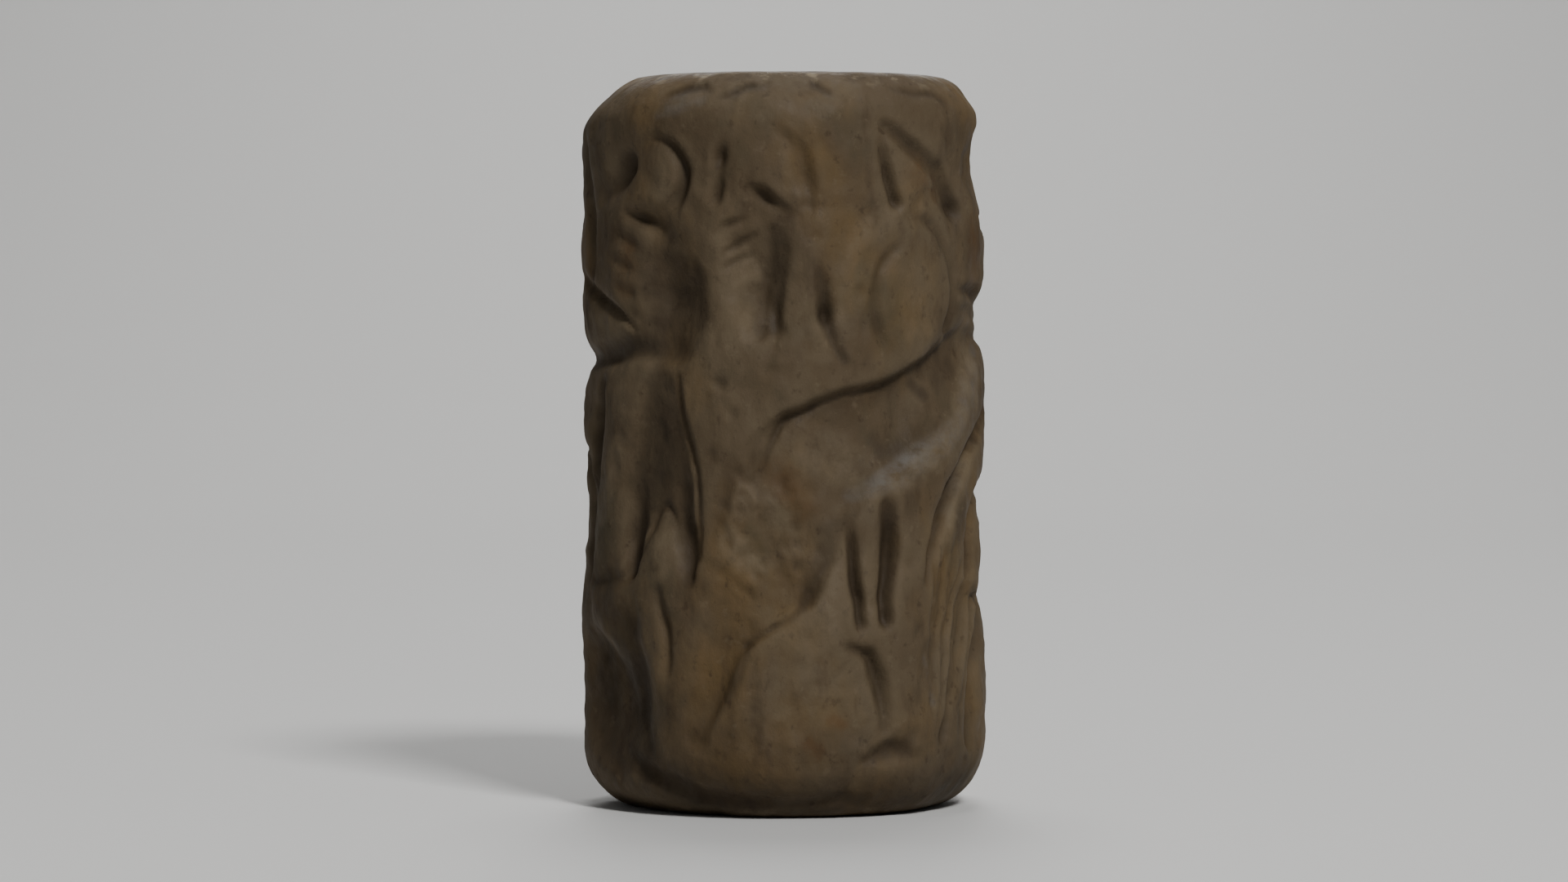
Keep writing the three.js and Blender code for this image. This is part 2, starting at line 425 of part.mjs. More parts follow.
// Facets: each quad on the wall is split along the diagonal that lies nearest to the carving in its middle
function facets(profile, wallRows, rows) {
  const index = [];
  const depthAt = (column, row) => {
    return carvedDepth((column / COLUMNS) * 2 * Math.PI, profile[row].y);
  };
  for (let column = 0; column < COLUMNS; column += 1) {
    for (let row = 0; row + 1 < rows; row += 1) {
      const a = column * rows + row;
      const b = a + rows;
      let fallsRight = false;
      if (row + 1 < wallRows) {
        const middle = (profile[row].y + profile[row + 1].y) / 2;
        const real = carvedDepth(((column + 0.5) / COLUMNS) * 2 * Math.PI, middle);
        const rising = (depthAt(column, row) + depthAt(column + 1, row + 1)) / 2;
        const falling = (depthAt(column + 1, row) + depthAt(column, row + 1)) / 2;
        fallsRight = Math.abs(falling - real) < Math.abs(rising - real);
      }
      if (fallsRight) index.push(a, b, a + 1, b, b + 1, a + 1);
      else index.push(a, b, b + 1, a, b + 1, a + 1);
    }
  }
  return index;
}

[man, scorpion, rearingGoat, rightLion, leftLion, standingGoat, wear].forEach((figure) => figure());
const frieze = worn(carveSheet());

const stone = new THREE.MeshStandardMaterial({ color: 0x6b5a43, roughness: 0.6, metalness: 0 });
const seal = new THREE.Mesh(sealGeometry(), stone);
seal.name = 'cylinder_seal';

const group = new THREE.Group();
group.add(seal);

export default group;
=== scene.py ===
"""Cylinder seal of dark stone, with its carved frieze, on a pale studio floor."""

import logging
from dataclasses import dataclass, field
from enum import Enum
from math import cos, pi, radians, sin

import bpy
import numpy as np
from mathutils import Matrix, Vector


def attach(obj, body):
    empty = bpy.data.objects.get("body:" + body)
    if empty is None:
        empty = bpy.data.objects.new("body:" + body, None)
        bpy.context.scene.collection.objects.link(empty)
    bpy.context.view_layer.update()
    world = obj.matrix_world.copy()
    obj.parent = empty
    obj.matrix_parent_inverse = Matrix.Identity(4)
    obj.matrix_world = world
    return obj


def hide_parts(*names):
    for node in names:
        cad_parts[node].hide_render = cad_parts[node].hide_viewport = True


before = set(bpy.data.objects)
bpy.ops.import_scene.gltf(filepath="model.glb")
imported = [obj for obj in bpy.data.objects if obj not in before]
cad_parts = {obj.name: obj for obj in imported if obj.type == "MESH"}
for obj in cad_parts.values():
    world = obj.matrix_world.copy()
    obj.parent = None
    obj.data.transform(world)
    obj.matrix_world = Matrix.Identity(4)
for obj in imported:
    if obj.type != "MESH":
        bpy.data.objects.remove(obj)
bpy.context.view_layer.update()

LOG = logging.getLogger("cylinder_seal")
MM = 0.001
NODE = "cylinder_seal"

Waypoints = list[list[float]]


class Cut(Enum):
    """Kinds of cut that the engraver made: depth in millimetres and how steeply the walls fall."""

    BODY = (0.60, 0.62)
    LIMB = (0.46, 0.65)
    LINE = (0.34, 0.75)
    WEAR = (0.30, 1.30)
    FLOOR = (0.44, 0.36)
    CREASE = (0.12, 1.00)

    @property
    def depth(self) -> float:
        """Give the depth of a full cut in millimetres."""
        return self.value[0]

    @property
    def wall(self) -> float:
        """Give the power of the wall's fall: low is steep, high is soft."""
        return self.value[1]


class Tint(Enum):
    """Kinds of tint on the stone, stains partly mixed with painted shade and painted highlight: the full
    share, the power of the fade and the name on the mesh.
    """

    # the shade tint is dark patina together with painted shade on the hollows and on slopes turned from the
    # light
    SHADE = (1.00, 1.10, "shade")
    # bloom: a pale blue-grey stain that along the goat's belly is also a painted highlight where the edge
    # faces up to the light
    BLOOM_AND_HIGHLIGHT = (1.00, 1.10, "bloom")
    RUST = (1.00, 1.10, "rust")
    # polish: rubbed wear together with painted highlight on slopes that face the light
    POLISH_AND_HIGHLIGHT = (1.00, 0.90, "polish")

    @property
    def depth(self) -> float:
        """Give the share in the middle of a full patch of tint."""
        return self.value[0]

    @property
    def wall(self) -> float:
        """Give the power of the tint's fade towards its rim."""
        return self.value[1]

    @property
    def title(self) -> str:
        """Give the name under which the mesh carries it."""
        return self.value[2]


class Grain:
    """Seeded noise on the sheet, smooth and the same in each run."""

    def __init__(self, seed: int) -> None:
        """Start the generator.

        Args:
            seed: Number that fixes the pattern.
        """
        self.random = np.random.default_rng(seed)

    def layer(self, u: np.ndarray, z: np.ndarray, columns: int, rows: int) -> np.ndarray:
        """Draw one layer of soft lumps.

        Args:
            u: Shares of the way round, from 0 to 1.
            z: Shares of the height, from 0 to 1.
            columns: Lumps round the seal.
            rows: Lumps up the seal.

        Returns:
            Values between -1 and 1.
        """
        values = self.random.uniform(-1, 1, (columns, rows + 1))
        x = (u % 1.0) * columns
        y = np.clip(z, 0, 1) * (rows - 1e-6)
        i, j = np.floor(x).astype(int) % columns, np.floor(y).astype(int)
        fx, fy = x - np.floor(x), y - np.floor(y)
        fx, fy = fx * fx * (3 - 2 * fx), fy * fy * (3 - 2 * fy)
        right = (i + 1) % columns
        low = values[i, j] * (1 - fx) + values[right, j] * fx
        high = values[i, j + 1] * (1 - fx) + values[right, j + 1] * fx
        return low * (1 - fy) + high * fy


@dataclass
class Course:
    """One cut, or one patch of tint that may carry painted shade or painted highlight: its way as rows of
    along, up, half width and share of depth.

    A lean above 0 makes the wall on the left of the way steeper, below 0 the one on the right.
    """

    kind: Cut | Tint
    way: np.ndarray
    lean: float = 0.0

    @staticmethod
    def smoothed(waypoints: Waypoints, steps: int) -> np.ndarray:
        """Run a smooth curve through the waypoints.

        Args:
            waypoints: Rows of along, up, half width and share of depth.
            steps: Stretches between two waypoints.

        Returns:
            The rows of the curve.
        """
        way = np.array(waypoints, float)
        if len(way) < 3:
            return way
        before, after = way[0].copy(), way[-1].copy()
        before[:2] = 2 * way[0][:2] - way[1][:2]
        after[:2] = 2 * way[-1][:2] - way[-2][:2]
        padded = np.vstack([before, way, after])
        rows = []
        for a, b, c, d in zip(padded, padded[1:], padded[2:], padded[3:]):
            for t in np.arange(steps) / steps:
                bend = 2 * a - 5 * b + 4 * c - d + t * (3 * (b - c) + d - a)
                rows.append(b + 0.5 * t * (c - a + t * bend))
        rows.append(way[-1])
        return np.array(rows)

    def depth(self, u: np.ndarray, z: np.ndarray) -> np.ndarray:
        """Measure how deep this cut, or how strong this tint, is at places on the sheet.

        Args:
            u: Places along the sheet in millimetres.
            z: Heights on the sheet in millimetres.

        Returns:
            Depths in millimetres or shares of the tint, 0 outside it.
        """
        near = np.full(u.shape, 9.0)
        share = np.zeros(u.shape)
        side = np.zeros(u.shape)
        for (au, az, aw, ad), (bu, bz, bw, bd) in zip(self.way, self.way[1:]):
            du, dz = bu - au, bz - az
            length = np.hypot(du, dz)
            t = np.clip(((u - au) * du + (z - az) * dz) / length**2, 0, 1)
            away = np.hypot(u - au - t * du, z - az - t * dz)
            x = away / np.maximum(aw + t * (bw - aw), 0.03)
            across = (du * (z - az) - dz * (u - au)) / length
            closer = x < near
            near = np.where(closer, x, near)
            share = np.where(closer, ad + t * (bd - ad), share)
            side = np.where(closer, across / np.maximum(away, 1e-9), side)
        bias = self.lean * side
        q = np.where(near > bias, (near - bias) / (1 - bias), (bias - near) / (1 + bias))
        return self.kind.depth * share * np.clip(1 - q * q, 0, 1) ** self.kind.wall * (near < 1)


@dataclass
class Frieze:
    """The carved scene, drawn on a sheet that wraps once round the seal."""

    sheet_turn: float = 38.0
    sheet_height: float = 22.2
    margin: float = 1.9
    grid: float = 0.05
    seed: int = 5
    wobble: float = 0.13
    wobble_lumps: tuple[int, int] = (22, 15)
    tremor_lumps: tuple[int, int] = (62, 43)
    tremor_share: float = 0.5
    unevenness: float = 0.22
    press_lumps: tuple[int, int] = (30, 20)
    pit_count: int = 260
    scratch_count: int = 90
    curve_steps: int = 6
    softening: float = 0.06
    polish: float = 0.095
    wear_reach: float = 0.50
    wear_lip: float = 0.035
    last_polish: float = 0.045
    cavity_reach: float = 0.35
    rim_breaks: tuple[Waypoints, ...] = (
        [[-3.9, 21.5, 0.12, 0.6], [-3.3, 21.72, 0.18, 1.5], [-2.6, 21.76, 0.15, 1.2],
            [-2.2, 21.6, 0.1, 0.6]],
        [[-1.9, 21.45, 0.1, 0.5], [-1.2, 21.66, 0.12, 1.1], [-0.5, 21.8, 0.1, 0.6]],
        [[0.9, 21.75, 0.13, 1.3], [1.25, 21.5, 0.12, 1.0]],
        [[3.5, 21.75, 0.1, 0.5], [4.3, 21.55, 0.12, 0.8], [5.0, 21.6, 0.14, 0.9], [5.6, 21.3, 0.1, 0.5]],
        [[9.0, 21.7, 0.12, 0.8], [10.1, 21.5, 0.16, 1.2], [11.2, 21.6, 0.12, 0.7]],
        [[-13.8, 21.55, 0.14, 1.0], [-12.9, 21.7, 0.12, 0.7]],
    )
    chip_shade_spread: float = 1.6
    chip_shade_share: float = 0.6
    cuts: list[Course] = field(default_factory=list)
    tint_courses: dict[Tint, list[Course]] = field(default_factory=dict)
    tints: dict[Tint, np.ndarray] = field(default_factory=dict)
    map: np.ndarray = field(default_factory=lambda: np.zeros((1, 2)))
    cavity: np.ndarray = field(default_factory=lambda: np.zeros((1, 2)))

    def __post_init__(self) -> None:
        """Cut every figure in turn."""
        self.man()
        self.scorpion()
        self.rearing_goat()
        self.right_lion()
        self.left_lion()
        self.standing_goat()
        self.wear()
        self.pits()
        self.patina_and_painted_light()
        self.raster()

    def cut(self, kind: Cut, waypoints: Waypoints, lean: float = 0.0) -> None:
        """Add one cut along waypoints.

        Args:
            kind: Which kind of cut it is.
            waypoints: Rows of along, up, half width and share of depth.
            lean: How far the deepest line lies to the left of the way.
        """
        self.cuts.append(Course(kind, Course.smoothed(waypoints, self.curve_steps), lean))

    def tint_patch(self, kind: Tint, waypoints: Waypoints) -> None:
        """Lay one patch of tint along waypoints; it may carry painted shade or painted highlight.

        Args:
            kind: Which kind of tint it is.
            waypoints: Rows of along, up, half width and strength.
        """
        course = Course(kind, Course.smoothed(waypoints, self.curve_steps))
        self.tint_courses.setdefault(kind, []).append(course)

    def bars(
        self,
        kind: Cut,
        first: list[float],
        last: list[float],
        count: int,
        half_length: float,
        girth: float,
        rise: float,
    ) -> None:
        """Add a row of short bars.

        Args:
            kind: Which kind of cut they are.
            first: Middle of the first bar.
            last: Middle of the last bar.
            count: How many bars.
            half_length: Half of a bar's length.
            girth: Half width of a bar.
            rise: How far a bar's right end lies above its middle.
        """
        for i in range(count):
            t = i / (count - 1) if count > 1 else 0.0
            u = first[0] + (last[0] - first[0]) * t
            z = first[1] + (last[1] - first[1]) * t
            left = [u - half_length, z - rise, girth * 0.5, 0.5]
            right = [u + half_length, z + rise, girth * 0.9, 0.9]
            self.cut(kind, [left, [u, z, girth, 1], right])

    def bow(
        self,
        kind: Cut,
        centre: list[float],
        radii: list[float],
        start: float,
        end: float,
        girths: list[float],
        shares: list[float],
        lean: float = 0.0,
    ) -> None:
        """Add a curved cut along part of an oval.

        Args:
            kind: Which kind of cut it is.
            centre: Middle of the oval.
            radii: The oval's half width and half height.
            start: First angle in degrees.
            end: Last angle in degrees.
            girths: Half widths along the cut.
            shares: Shares of depth along the cut.
            lean: How far the deepest line lies to the left of the way.
        """
        way = []
        for i, (girth, share) in enumerate(zip(girths, shares)):
            turn = radians(start + (end - start) * i / (len(girths) - 1))
            way.append([centre[0] + radii[0] * cos(turn), centre[1] + radii[1] * sin(turn), girth, share])
        self.cut(kind, way, lean)

    def fan(self, kind: Cut, roots: Waypoints, tips: Waypoints, girth: float) -> None:
        """Add locks or claws that spread from roots to tips.

        Args:
            kind: Which kind of cut they are.
            roots: Where each starts.
            tips: Where each ends.
            girth: Half width in the middle.
        """
        for (u, z), (tip_u, tip_z) in zip(roots, tips):
            middle = [(u + tip_u) / 2 + 0.15, (z + tip_z) / 2 + 0.15, girth, 1]
            self.cut(kind, [[u, z, girth * 0.6, 0.8], middle, [tip_u, tip_z, girth * 0.4, 0.5]], 0.3)

    def man(self) -> None:
        """Cut the man in a long kilt, his arm stretched out with a dagger."""
        # head: a plain oval left standing inside the arc of the hair, a lock in front and a barred beard
        self.bow(Cut.LIMB, [-4.3, 19.05], [1.1, 1.1], 122, -80, [0.12, 0.14, 0.2, 0.26, 0.26, 0.16],
            [0.2, 0.4, 0.8, 1.0, 0.8, 0.3], 0.3)
        self.cut(Cut.WEAR, [[-6.9, 18.4, 0.3, 0.5], [-6.0, 19.0, 0.55, 1.2], [-5.4, 19.55, 0.55, 1.7]], -0.2)
        self.cut(Cut.LIMB, [[-5.5, 18.1, 0.15, 0.5], [-4.9, 17.95, 0.26, 1.2], [-4.15, 17.6, 0.3, 1]])
        self.cut(Cut.LINE, [[-5.9, 17.3, 0.16, 0.4], [-5.2, 17.1, 0.26, 0.7], [-4.6, 16.9, 0.18, 0.5]])
        self.cut(Cut.LINE, [[-6.1, 16.6, 0.16, 0.4], [-5.4, 16.35, 0.24, 0.6], [-4.9, 16.1, 0.16, 0.4]])
        self.cut(Cut.LINE, [[-5.8, 15.8, 0.14, 0.4], [-5.1, 15.5, 0.24, 0.7]])
        # shoulders and arms
        self.cut(Cut.WEAR, [[-3.8, 17.7, 0.8, 1.0], [-3.6, 16.4, 1.3, 1.7], [-3.5, 14.6, 1.3, 1.8]], -0.4)
        self.cut(Cut.BODY, [[-3.75, 17.1, 0.5, 0.5], [-3.45, 16.2, 0.95, 1.0], [-3.3, 15.35, 1.2, 1.4],
            [-3.6, 14.4, 0.95, 1.1]], -0.35)
        self.cut(Cut.LINE, [[-8.4, 16.2, 0.14, 0.5], [-7.2, 15.65, 0.24, 0.8], [-6.0, 15.0, 0.24, 0.9],
            [-5.05, 14.35, 0.2, 0.7]], 0.4)
        self.cut(Cut.BODY, [[-4.9, 14.0, 0.5, 0.7], [-4.3, 14.4, 0.7, 0.9], [-3.4, 15.2, 0.9, 1.2]], -0.1)
        self.cut(Cut.LIMB, [[-10.0, 13.4, 0.34, 0.6], [-8.6, 13.6, 0.36, 0.7], [-7.2, 13.75, 0.44, 1.0],
            [-5.2, 13.9, 0.5, 1.2], [-3.5, 13.95, 0.4, 1.0]], -0.3)
        self.cut(Cut.LIMB, [[-13, 13.35, 0.06, 0.4], [-11.4, 13.45, 0.38, 1], [-9.6, 13.6, 0.8, 1.2],
            [-8.9, 13.55, 0.4, 1]])
        self.cut(Cut.CREASE, [[-8.2, 16.1, 0.1, 0.5], [-7.2, 15.7, 0.13, 0.9], [-6.0, 15.1, 0.13, 1.1],
            [-5.1, 14.4, 0.12, 0.8]])
        # kilt: a flat floor with a ridge on its left, parting over the point of its hem
        self.cut(Cut.FLOOR, [[-4.05, 13.3, 0.5, 0.7], [-4.1, 12.3, 0.88, 0.95], [-4.1, 11.0, 1.2, 1.0],
            [-4.25, 9.9, 1.5, 1.0]])
        self.cut(Cut.FLOOR, [[-4.8, 10.0, 0.5, 1.0], [-5.1, 9.3, 0.5, 1.2], [-5.25, 8.5, 0.46, 1.1],
            [-5.3, 7.4, 0.3, 0.9]], -0.2)
        self.cut(Cut.FLOOR, [[-3.45, 10.1, 0.6, 1.0], [-3.3, 9.3, 0.54, 1.15], [-3.05, 8.3, 0.4, 1.2],
            [-2.85, 7.1, 0.2, 0.8]], 0.2)
        self.cut(Cut.CREASE, [[-5.0, 7.7, 0.08, 0.5], [-4.55, 8.5, 0.1, 1.1], [-4.05, 9.35, 0.1, 1.2],
            [-3.6, 8.7, 0.1, 1.1], [-3.1, 7.3, 0.08, 0.6]])
        self.cut(Cut.CREASE, [[-3.45, 13.3, 0.1, 0.8], [-3.25, 12.3, 0.12, 1.4], [-2.9, 11.2, 0.13, 1.6],
            [-2.65, 10.1, 0.12, 1.5], [-2.6, 8.9, 0.12, 1.2], [-2.65, 7.7, 0.1, 0.8]])
        self.cut(Cut.LIMB, [[-7.0, 12.8, 0.35, 0.8], [-7.2, 11.7, 0.5, 1.0], [-7.5, 10.2, 0.45, 0.8],
            [-7.9, 8.3, 0.3, 0.6]], 0.3)
        self.cut(Cut.WEAR, [[-7.4, 6.9, 0.3, 0.5], [-6.3, 7.0, 0.4, 0.6], [-5.4, 7.2, 0.3, 0.8]])
        self.cut(Cut.LINE, [[-5.25, 7.9, 0.16, 0.6], [-5.2, 7.4, 0.24, 1.6]])
        # leg, and the open hollow in front of it
        self.cut(Cut.LINE, [[-3.9, 6.8, 0.16, 0.7], [-3.82, 5.7, 0.18, 1.0], [-3.7, 4.4, 0.13, 0.6]], 0.4)
        self.cut(Cut.BODY, [[-7.3, 4.3, 1.3, 0.8], [-6.6, 3.0, 1.7, 1.0], [-6.1, 1.9, 1.1, 0.7]], 0.5)
        self.cut(Cut.WEAR, [[-5.6, 5.6, 0.9, 0.9], [-5.4, 3.8, 1.2, 2.0], [-5.0, 2.0, 1.0, 1.4]], 0.2)
        self.cut(Cut.WEAR, [[-8.4, 20.6, 0.2, 0.4], [-7.9, 18.2, 0.45, 1], [-7.5, 16.3, 0.4, 1]])

    def scorpion(self) -> None:
        """Cut the scorpion between the man's head and the horned goat."""
        self.cut(Cut.LINE, [[-1.75, 20.1, 0.1, 0.4], [-1.92, 19.6, 0.18, 1.2], [-2.0, 19.0, 0.12, 0.5],
            [-2.1, 18.3, 0.18, 1.2]])
        self.cut(Cut.LINE, [[-0.3, 20.6, 0.14, 0.3], [0.35, 19.9, 0.26, 0.6], [0.58, 19.1, 0.26, 0.6],
            [0.7, 18.0, 0.2, 0.4]], 0.4)
        self.cut(Cut.LIMB, [[-1.1, 18.7, 0.16, 0.4], [-0.55, 18.42, 0.27, 1.2], [-0.2, 18.2, 0.24, 0.9],
            [0.2, 17.95, 0.16, 0.5]])
        self.cut(Cut.WEAR, [[-1.0, 17.9, 0.7, 1.2], [-1.25, 16.8, 1.1, 2.2], [-1.3, 15.6, 1.0, 2.5],
            [-0.9, 14.5, 0.5, 1.6]], 0.7)
        self.cut(Cut.WEAR, [[-0.3, 17.8, 0.55, 1.0], [-0.35, 16.9, 0.65, 1.5], [-0.4, 15.9, 0.5, 1.8],
            [-0.35, 14.9, 0.3, 1.9], [-0.3, 14.4, 0.2, 1.3]], 0.1)
        self.cut(Cut.LINE, [[-0.35, 15.1, 0.12, 0.6], [-0.2, 14.55, 0.18, 1.5]])
        self.cut(Cut.LINE, [[-1.75, 16.8, 0.1, 0.5], [-1.35, 17.1, 0.15, 1.0], [-1.0, 17.3, 0.12, 0.6]])
        self.cut(Cut.LINE, [[-1.5, 16.35, 0.1, 0.4], [-1.2, 16.55, 0.14, 0.9], [-0.9, 16.75, 0.1, 0.5]])
        self.cut(Cut.LINE, [[-2.0, 17.4, 0.1, 0.4], [-1.6, 17.7, 0.12, 0.7], [-1.2, 17.8, 0.1, 0.4]])
        self.cut(Cut.LINE, [[-0.25, 14.6, 0.16, 1.0], [-0.4, 13.9, 0.12, 0.6], [-0.55, 13.3, 0.1, 0.3]], 0.3)
        self.cut(Cut.LINE, [[-2.15, 12.95, 0.14, 0.5], [-1.9, 12.85, 0.18, 0.7]])
        self.cut(Cut.CREASE, [[-1.85, 16.8, 0.1, 0.8], [-1.4, 17.08, 0.14, 1.8], [-0.95, 17.3, 0.1, 1.0]],
            0.3)
        self.cut(Cut.CREASE, [[-1.9, 16.3, 0.1, 0.6], [-1.5, 16.52, 0.13, 1.4], [-1.0, 16.75, 0.1, 0.8]],
            0.3)
        self.cut(Cut.CREASE, [[-2.0, 17.4, 0.1, 0.6], [-1.6, 17.65, 0.12, 1.3], [-1.2, 17.8, 0.1, 0.8]], 0.3)

    def rearing_goat(self) -> None:
        """Cut the rearing goat, its horns curled back."""
        # body and thigh
        self.cut(Cut.BODY, [[8.4, 14.2, 0.5, 0.6], [6.7, 13.55, 0.85, 0.95], [4.7, 12.25, 1.2, 1.1],
            [2.7, 11.45, 1.42, 1.05], [0.9, 10.75, 1.6, 0.8], [0.2, 10.3, 1.6, 0.7]], -0.8)
        self.cut(Cut.BODY, [[1.6, 10.5, 1.5, 0.8], [0.6, 9.0, 1.5, 0.6], [-0.3, 7.5, 1.3, 0.65],
            [-1.1, 6.4, 0.9, 0.65]], 0.6)
        self.cut(Cut.LIMB, [[-1.35, 6.4, 0.95, 0.85], [-1.95, 5.1, 0.75, 0.95], [-2.25, 3.9, 0.6, 0.8],
            [-2.75, 2.5, 0.4, 0.4]], 0.75)
        self.cut(Cut.WEAR, [[-0.9, 11.4, 0.3, 0.4], [-1.6, 10.2, 0.5, 0.7], [-2.2, 8.2, 0.4, 0.4]])
        # the crisp line along its back
        self.cut(Cut.CREASE, [[-0.85, 10.3, 0.1, 0.6], [-0.4, 11.2, 0.12, 1.2], [0.15, 11.9, 0.14, 1.5],
            [1.1, 12.4, 0.16, 1.7], [2.0, 12.72, 0.17, 1.9], [3.2, 12.98, 0.17, 1.9],
            [4.4, 13.38, 0.16, 1.6], [5.6, 14.1, 0.13, 1.0]], -0.35)
        # the broken edge under its belly and behind the hind leg
        self.cut(Cut.LIMB, [[1.7, 8.5, 0.14, 0.5], [1.15, 7.5, 0.34, 0.9], [0.65, 6.7, 0.34, 1.1],
            [0.35, 6.25, 0.14, 0.6]], 0.3)
        self.cut(Cut.CREASE, [[0.3, 6.25, 0.1, 0.9], [-0.4, 5.8, 0.13, 2.0], [-1.15, 5.25, 0.12, 1.3]], 0.3)
        # fore legs, knee, shin and hoof
        self.cut(Cut.LIMB, [[1.9, 8.7, 0.18, 0.8], [2.12, 7.1, 0.25, 1.5], [2.42, 5.7, 0.16, 1.1]], 0.4)
        self.cut(Cut.LIMB, [[3.1, 9.3, 0.36, 0.7], [3.25, 7.6, 0.42, 1.4], [3.15, 5.9, 0.24, 1.1]], 0.3)
        self.cut(Cut.LIMB, [[1.95, 5.0, 0.13, 0.6], [2.6, 4.85, 0.16, 0.9], [2.95, 4.3, 0.17, 0.9]])
        self.cut(Cut.LIMB, [[2.6, 4.9, 0.22, 0.7], [2.9, 3.9, 0.28, 0.9], [3.0, 2.8, 0.2, 0.6]], 0.75)
        self.cut(Cut.LINE, [[2.4, 1.85, 0.16, 0.4], [3.4, 2.1, 0.42, 0.85], [4.4, 1.9, 0.16, 0.4]], 0.3)
        # horns: the outer one ends in a deep pit
        self.bow(Cut.LINE, [4.45, 15.5], [3.35, 3], 118, 216, [0.24, 0.34, 0.34, 0.24, 0.16, 0.11],
            [0.15, 0.2, 0.25, 0.6, 1.0, 0.8], 0.1)
        self.cut(Cut.LINE, [[1.1, 15.5, 0.18, 1.0], [1.2, 14.95, 0.26, 2.2]])
        self.cut(Cut.WEAR, [[1.1, 16.6, 0.35, 0.3], [1.05, 15.9, 0.38, 0.8], [1.2, 15.2, 0.35, 0.9]])
        self.bow(Cut.LINE, [4.5, 15.4], [1.8, 1.95], 112, 232, [0.1, 0.14, 0.16, 0.15, 0.14, 0.1],
            [0.3, 0.7, 0.6, 0.6, 0.7, 0.4], 0.4)
        # head and neck
        self.cut(Cut.LIMB, [[2.95, 20.5, 0.18, 0.5], [4.2, 19.75, 0.34, 0.8], [5.3, 19.0, 0.4, 0.9],
            [6.15, 18.1, 0.38, 1.3]], 0.3)
        self.cut(Cut.LIMB, [[2.95, 20.1, 0.12, 0.5], [3.15, 19.2, 0.17, 1.0], [3.55, 18.25, 0.18, 1.1]], 0.2)
        self.cut(Cut.LINE, [[4.1, 18.2, 0.2, 0.5], [4.9, 18.5, 0.3, 0.7], [5.8, 18.1, 0.34, 1.2]])
        self.cut(Cut.LINE, [[3.9, 17.95, 0.14, 0.5], [4.9, 17.6, 0.24, 0.8], [5.7, 16.7, 0.2, 0.8],
            [6, 15.6, 0.16, 0.7]], -0.3)
        self.cut(Cut.WEAR, [[5.95, 18.2, 0.6, 1], [6.1, 16.8, 0.35, 0.6], [6.1, 15.2, 0.45, 1.2],
            [5.9, 14.5, 0.45, 1.6]])

    def right_lion(self) -> None:
        """Cut the lion that holds the rearing goat, its head to the left."""
        self.cut(Cut.BODY, [[7.3, 19.4, 0.9, 0.5], [8.9, 19.6, 1.4, 0.68], [10.6, 19.3, 1.45, 0.75]], 0.2)
        self.cut(Cut.LINE, [[10.2, 19.5, 0.8, 1.2], [12, 19, 0.5, 0.8], [14, 18.75, 0.15, 0.3]])
        self.cut(Cut.LIMB, [[8.2, 17.95, 0.14, 0.7], [9.6, 17.8, 0.3, 1], [11, 17.95, 0.2, 0.8]])
        self.cut(Cut.LIMB, [[9.3, 15.3, 0.35, 1.1], [10.6, 15.75, 0.48, 1.1], [11.6, 16.6, 0.42, 1],
            [13.1, 17.25, 0.15, 0.4]], 0.3)
        self.fan(Cut.LIMB, [[9.7, 15.0], [9.7, 14.75], [10, 14.15]], [[6.0, 15.75], [6.1, 15.0],
            [5.8, 14.45]], 0.3)
        self.cut(Cut.WEAR, [[7.5, 14.9, 0.6, 0.8], [9.6, 14.7, 0.75, 1.4], [11.2, 14.6, 0.7, 1.2]])
        self.fan(Cut.LIMB, [[12.1, 18.5], [12.5, 17], [12, 16.1], [11.3, 15.3], [10.4, 14.5]],
            [[14.5, 17.2], [14.4, 15.5], [14.1, 13.9], [13.2, 13], [12.2, 12.2]], 0.42)
        self.cut(Cut.BODY, [[12.6, 13.6, 1.2, 0.7], [14.6, 11.9, 1.5, 0.85], [16.5, 10, 1.55, 0.9],
            [18.2, 8.1, 1.6, 0.95], [19.4, 6.3, 1.3, 0.85]], -0.1)
        self.cut(Cut.LIMB, [[19.3, 6.6, 1.1, 1.1], [20, 4.9, 0.65, 0.9], [20.6, 3.5, 0.4, 0.8],
            [21, 2.4, 0.34, 0.7]])
        self.cut(Cut.LIMB, [[15.5, 7.7, 0.5, 0.9], [15.8, 6, 0.5, 0.9], [16.2, 4.4, 0.35, 0.8]], 0.3)
        self.cut(Cut.LIMB, [[16.3, 4.5, 0.35, 0.8], [15.9, 3.2, 0.42, 0.9], [15.2, 2.1, 0.3, 0.7]], 0.3)
        self.cut(Cut.LINE, [[19.4, 10, 0.3, 0.9], [20.4, 9.4, 0.24, 0.8], [21.1, 8, 0.22, 0.7],
            [21.8, 6.4, 0.2, 0.6], [22.3, 3.2, 0.12, 0.3]])

    def left_lion(self) -> None:
        """Cut the lion that crosses the other, its head to the right."""
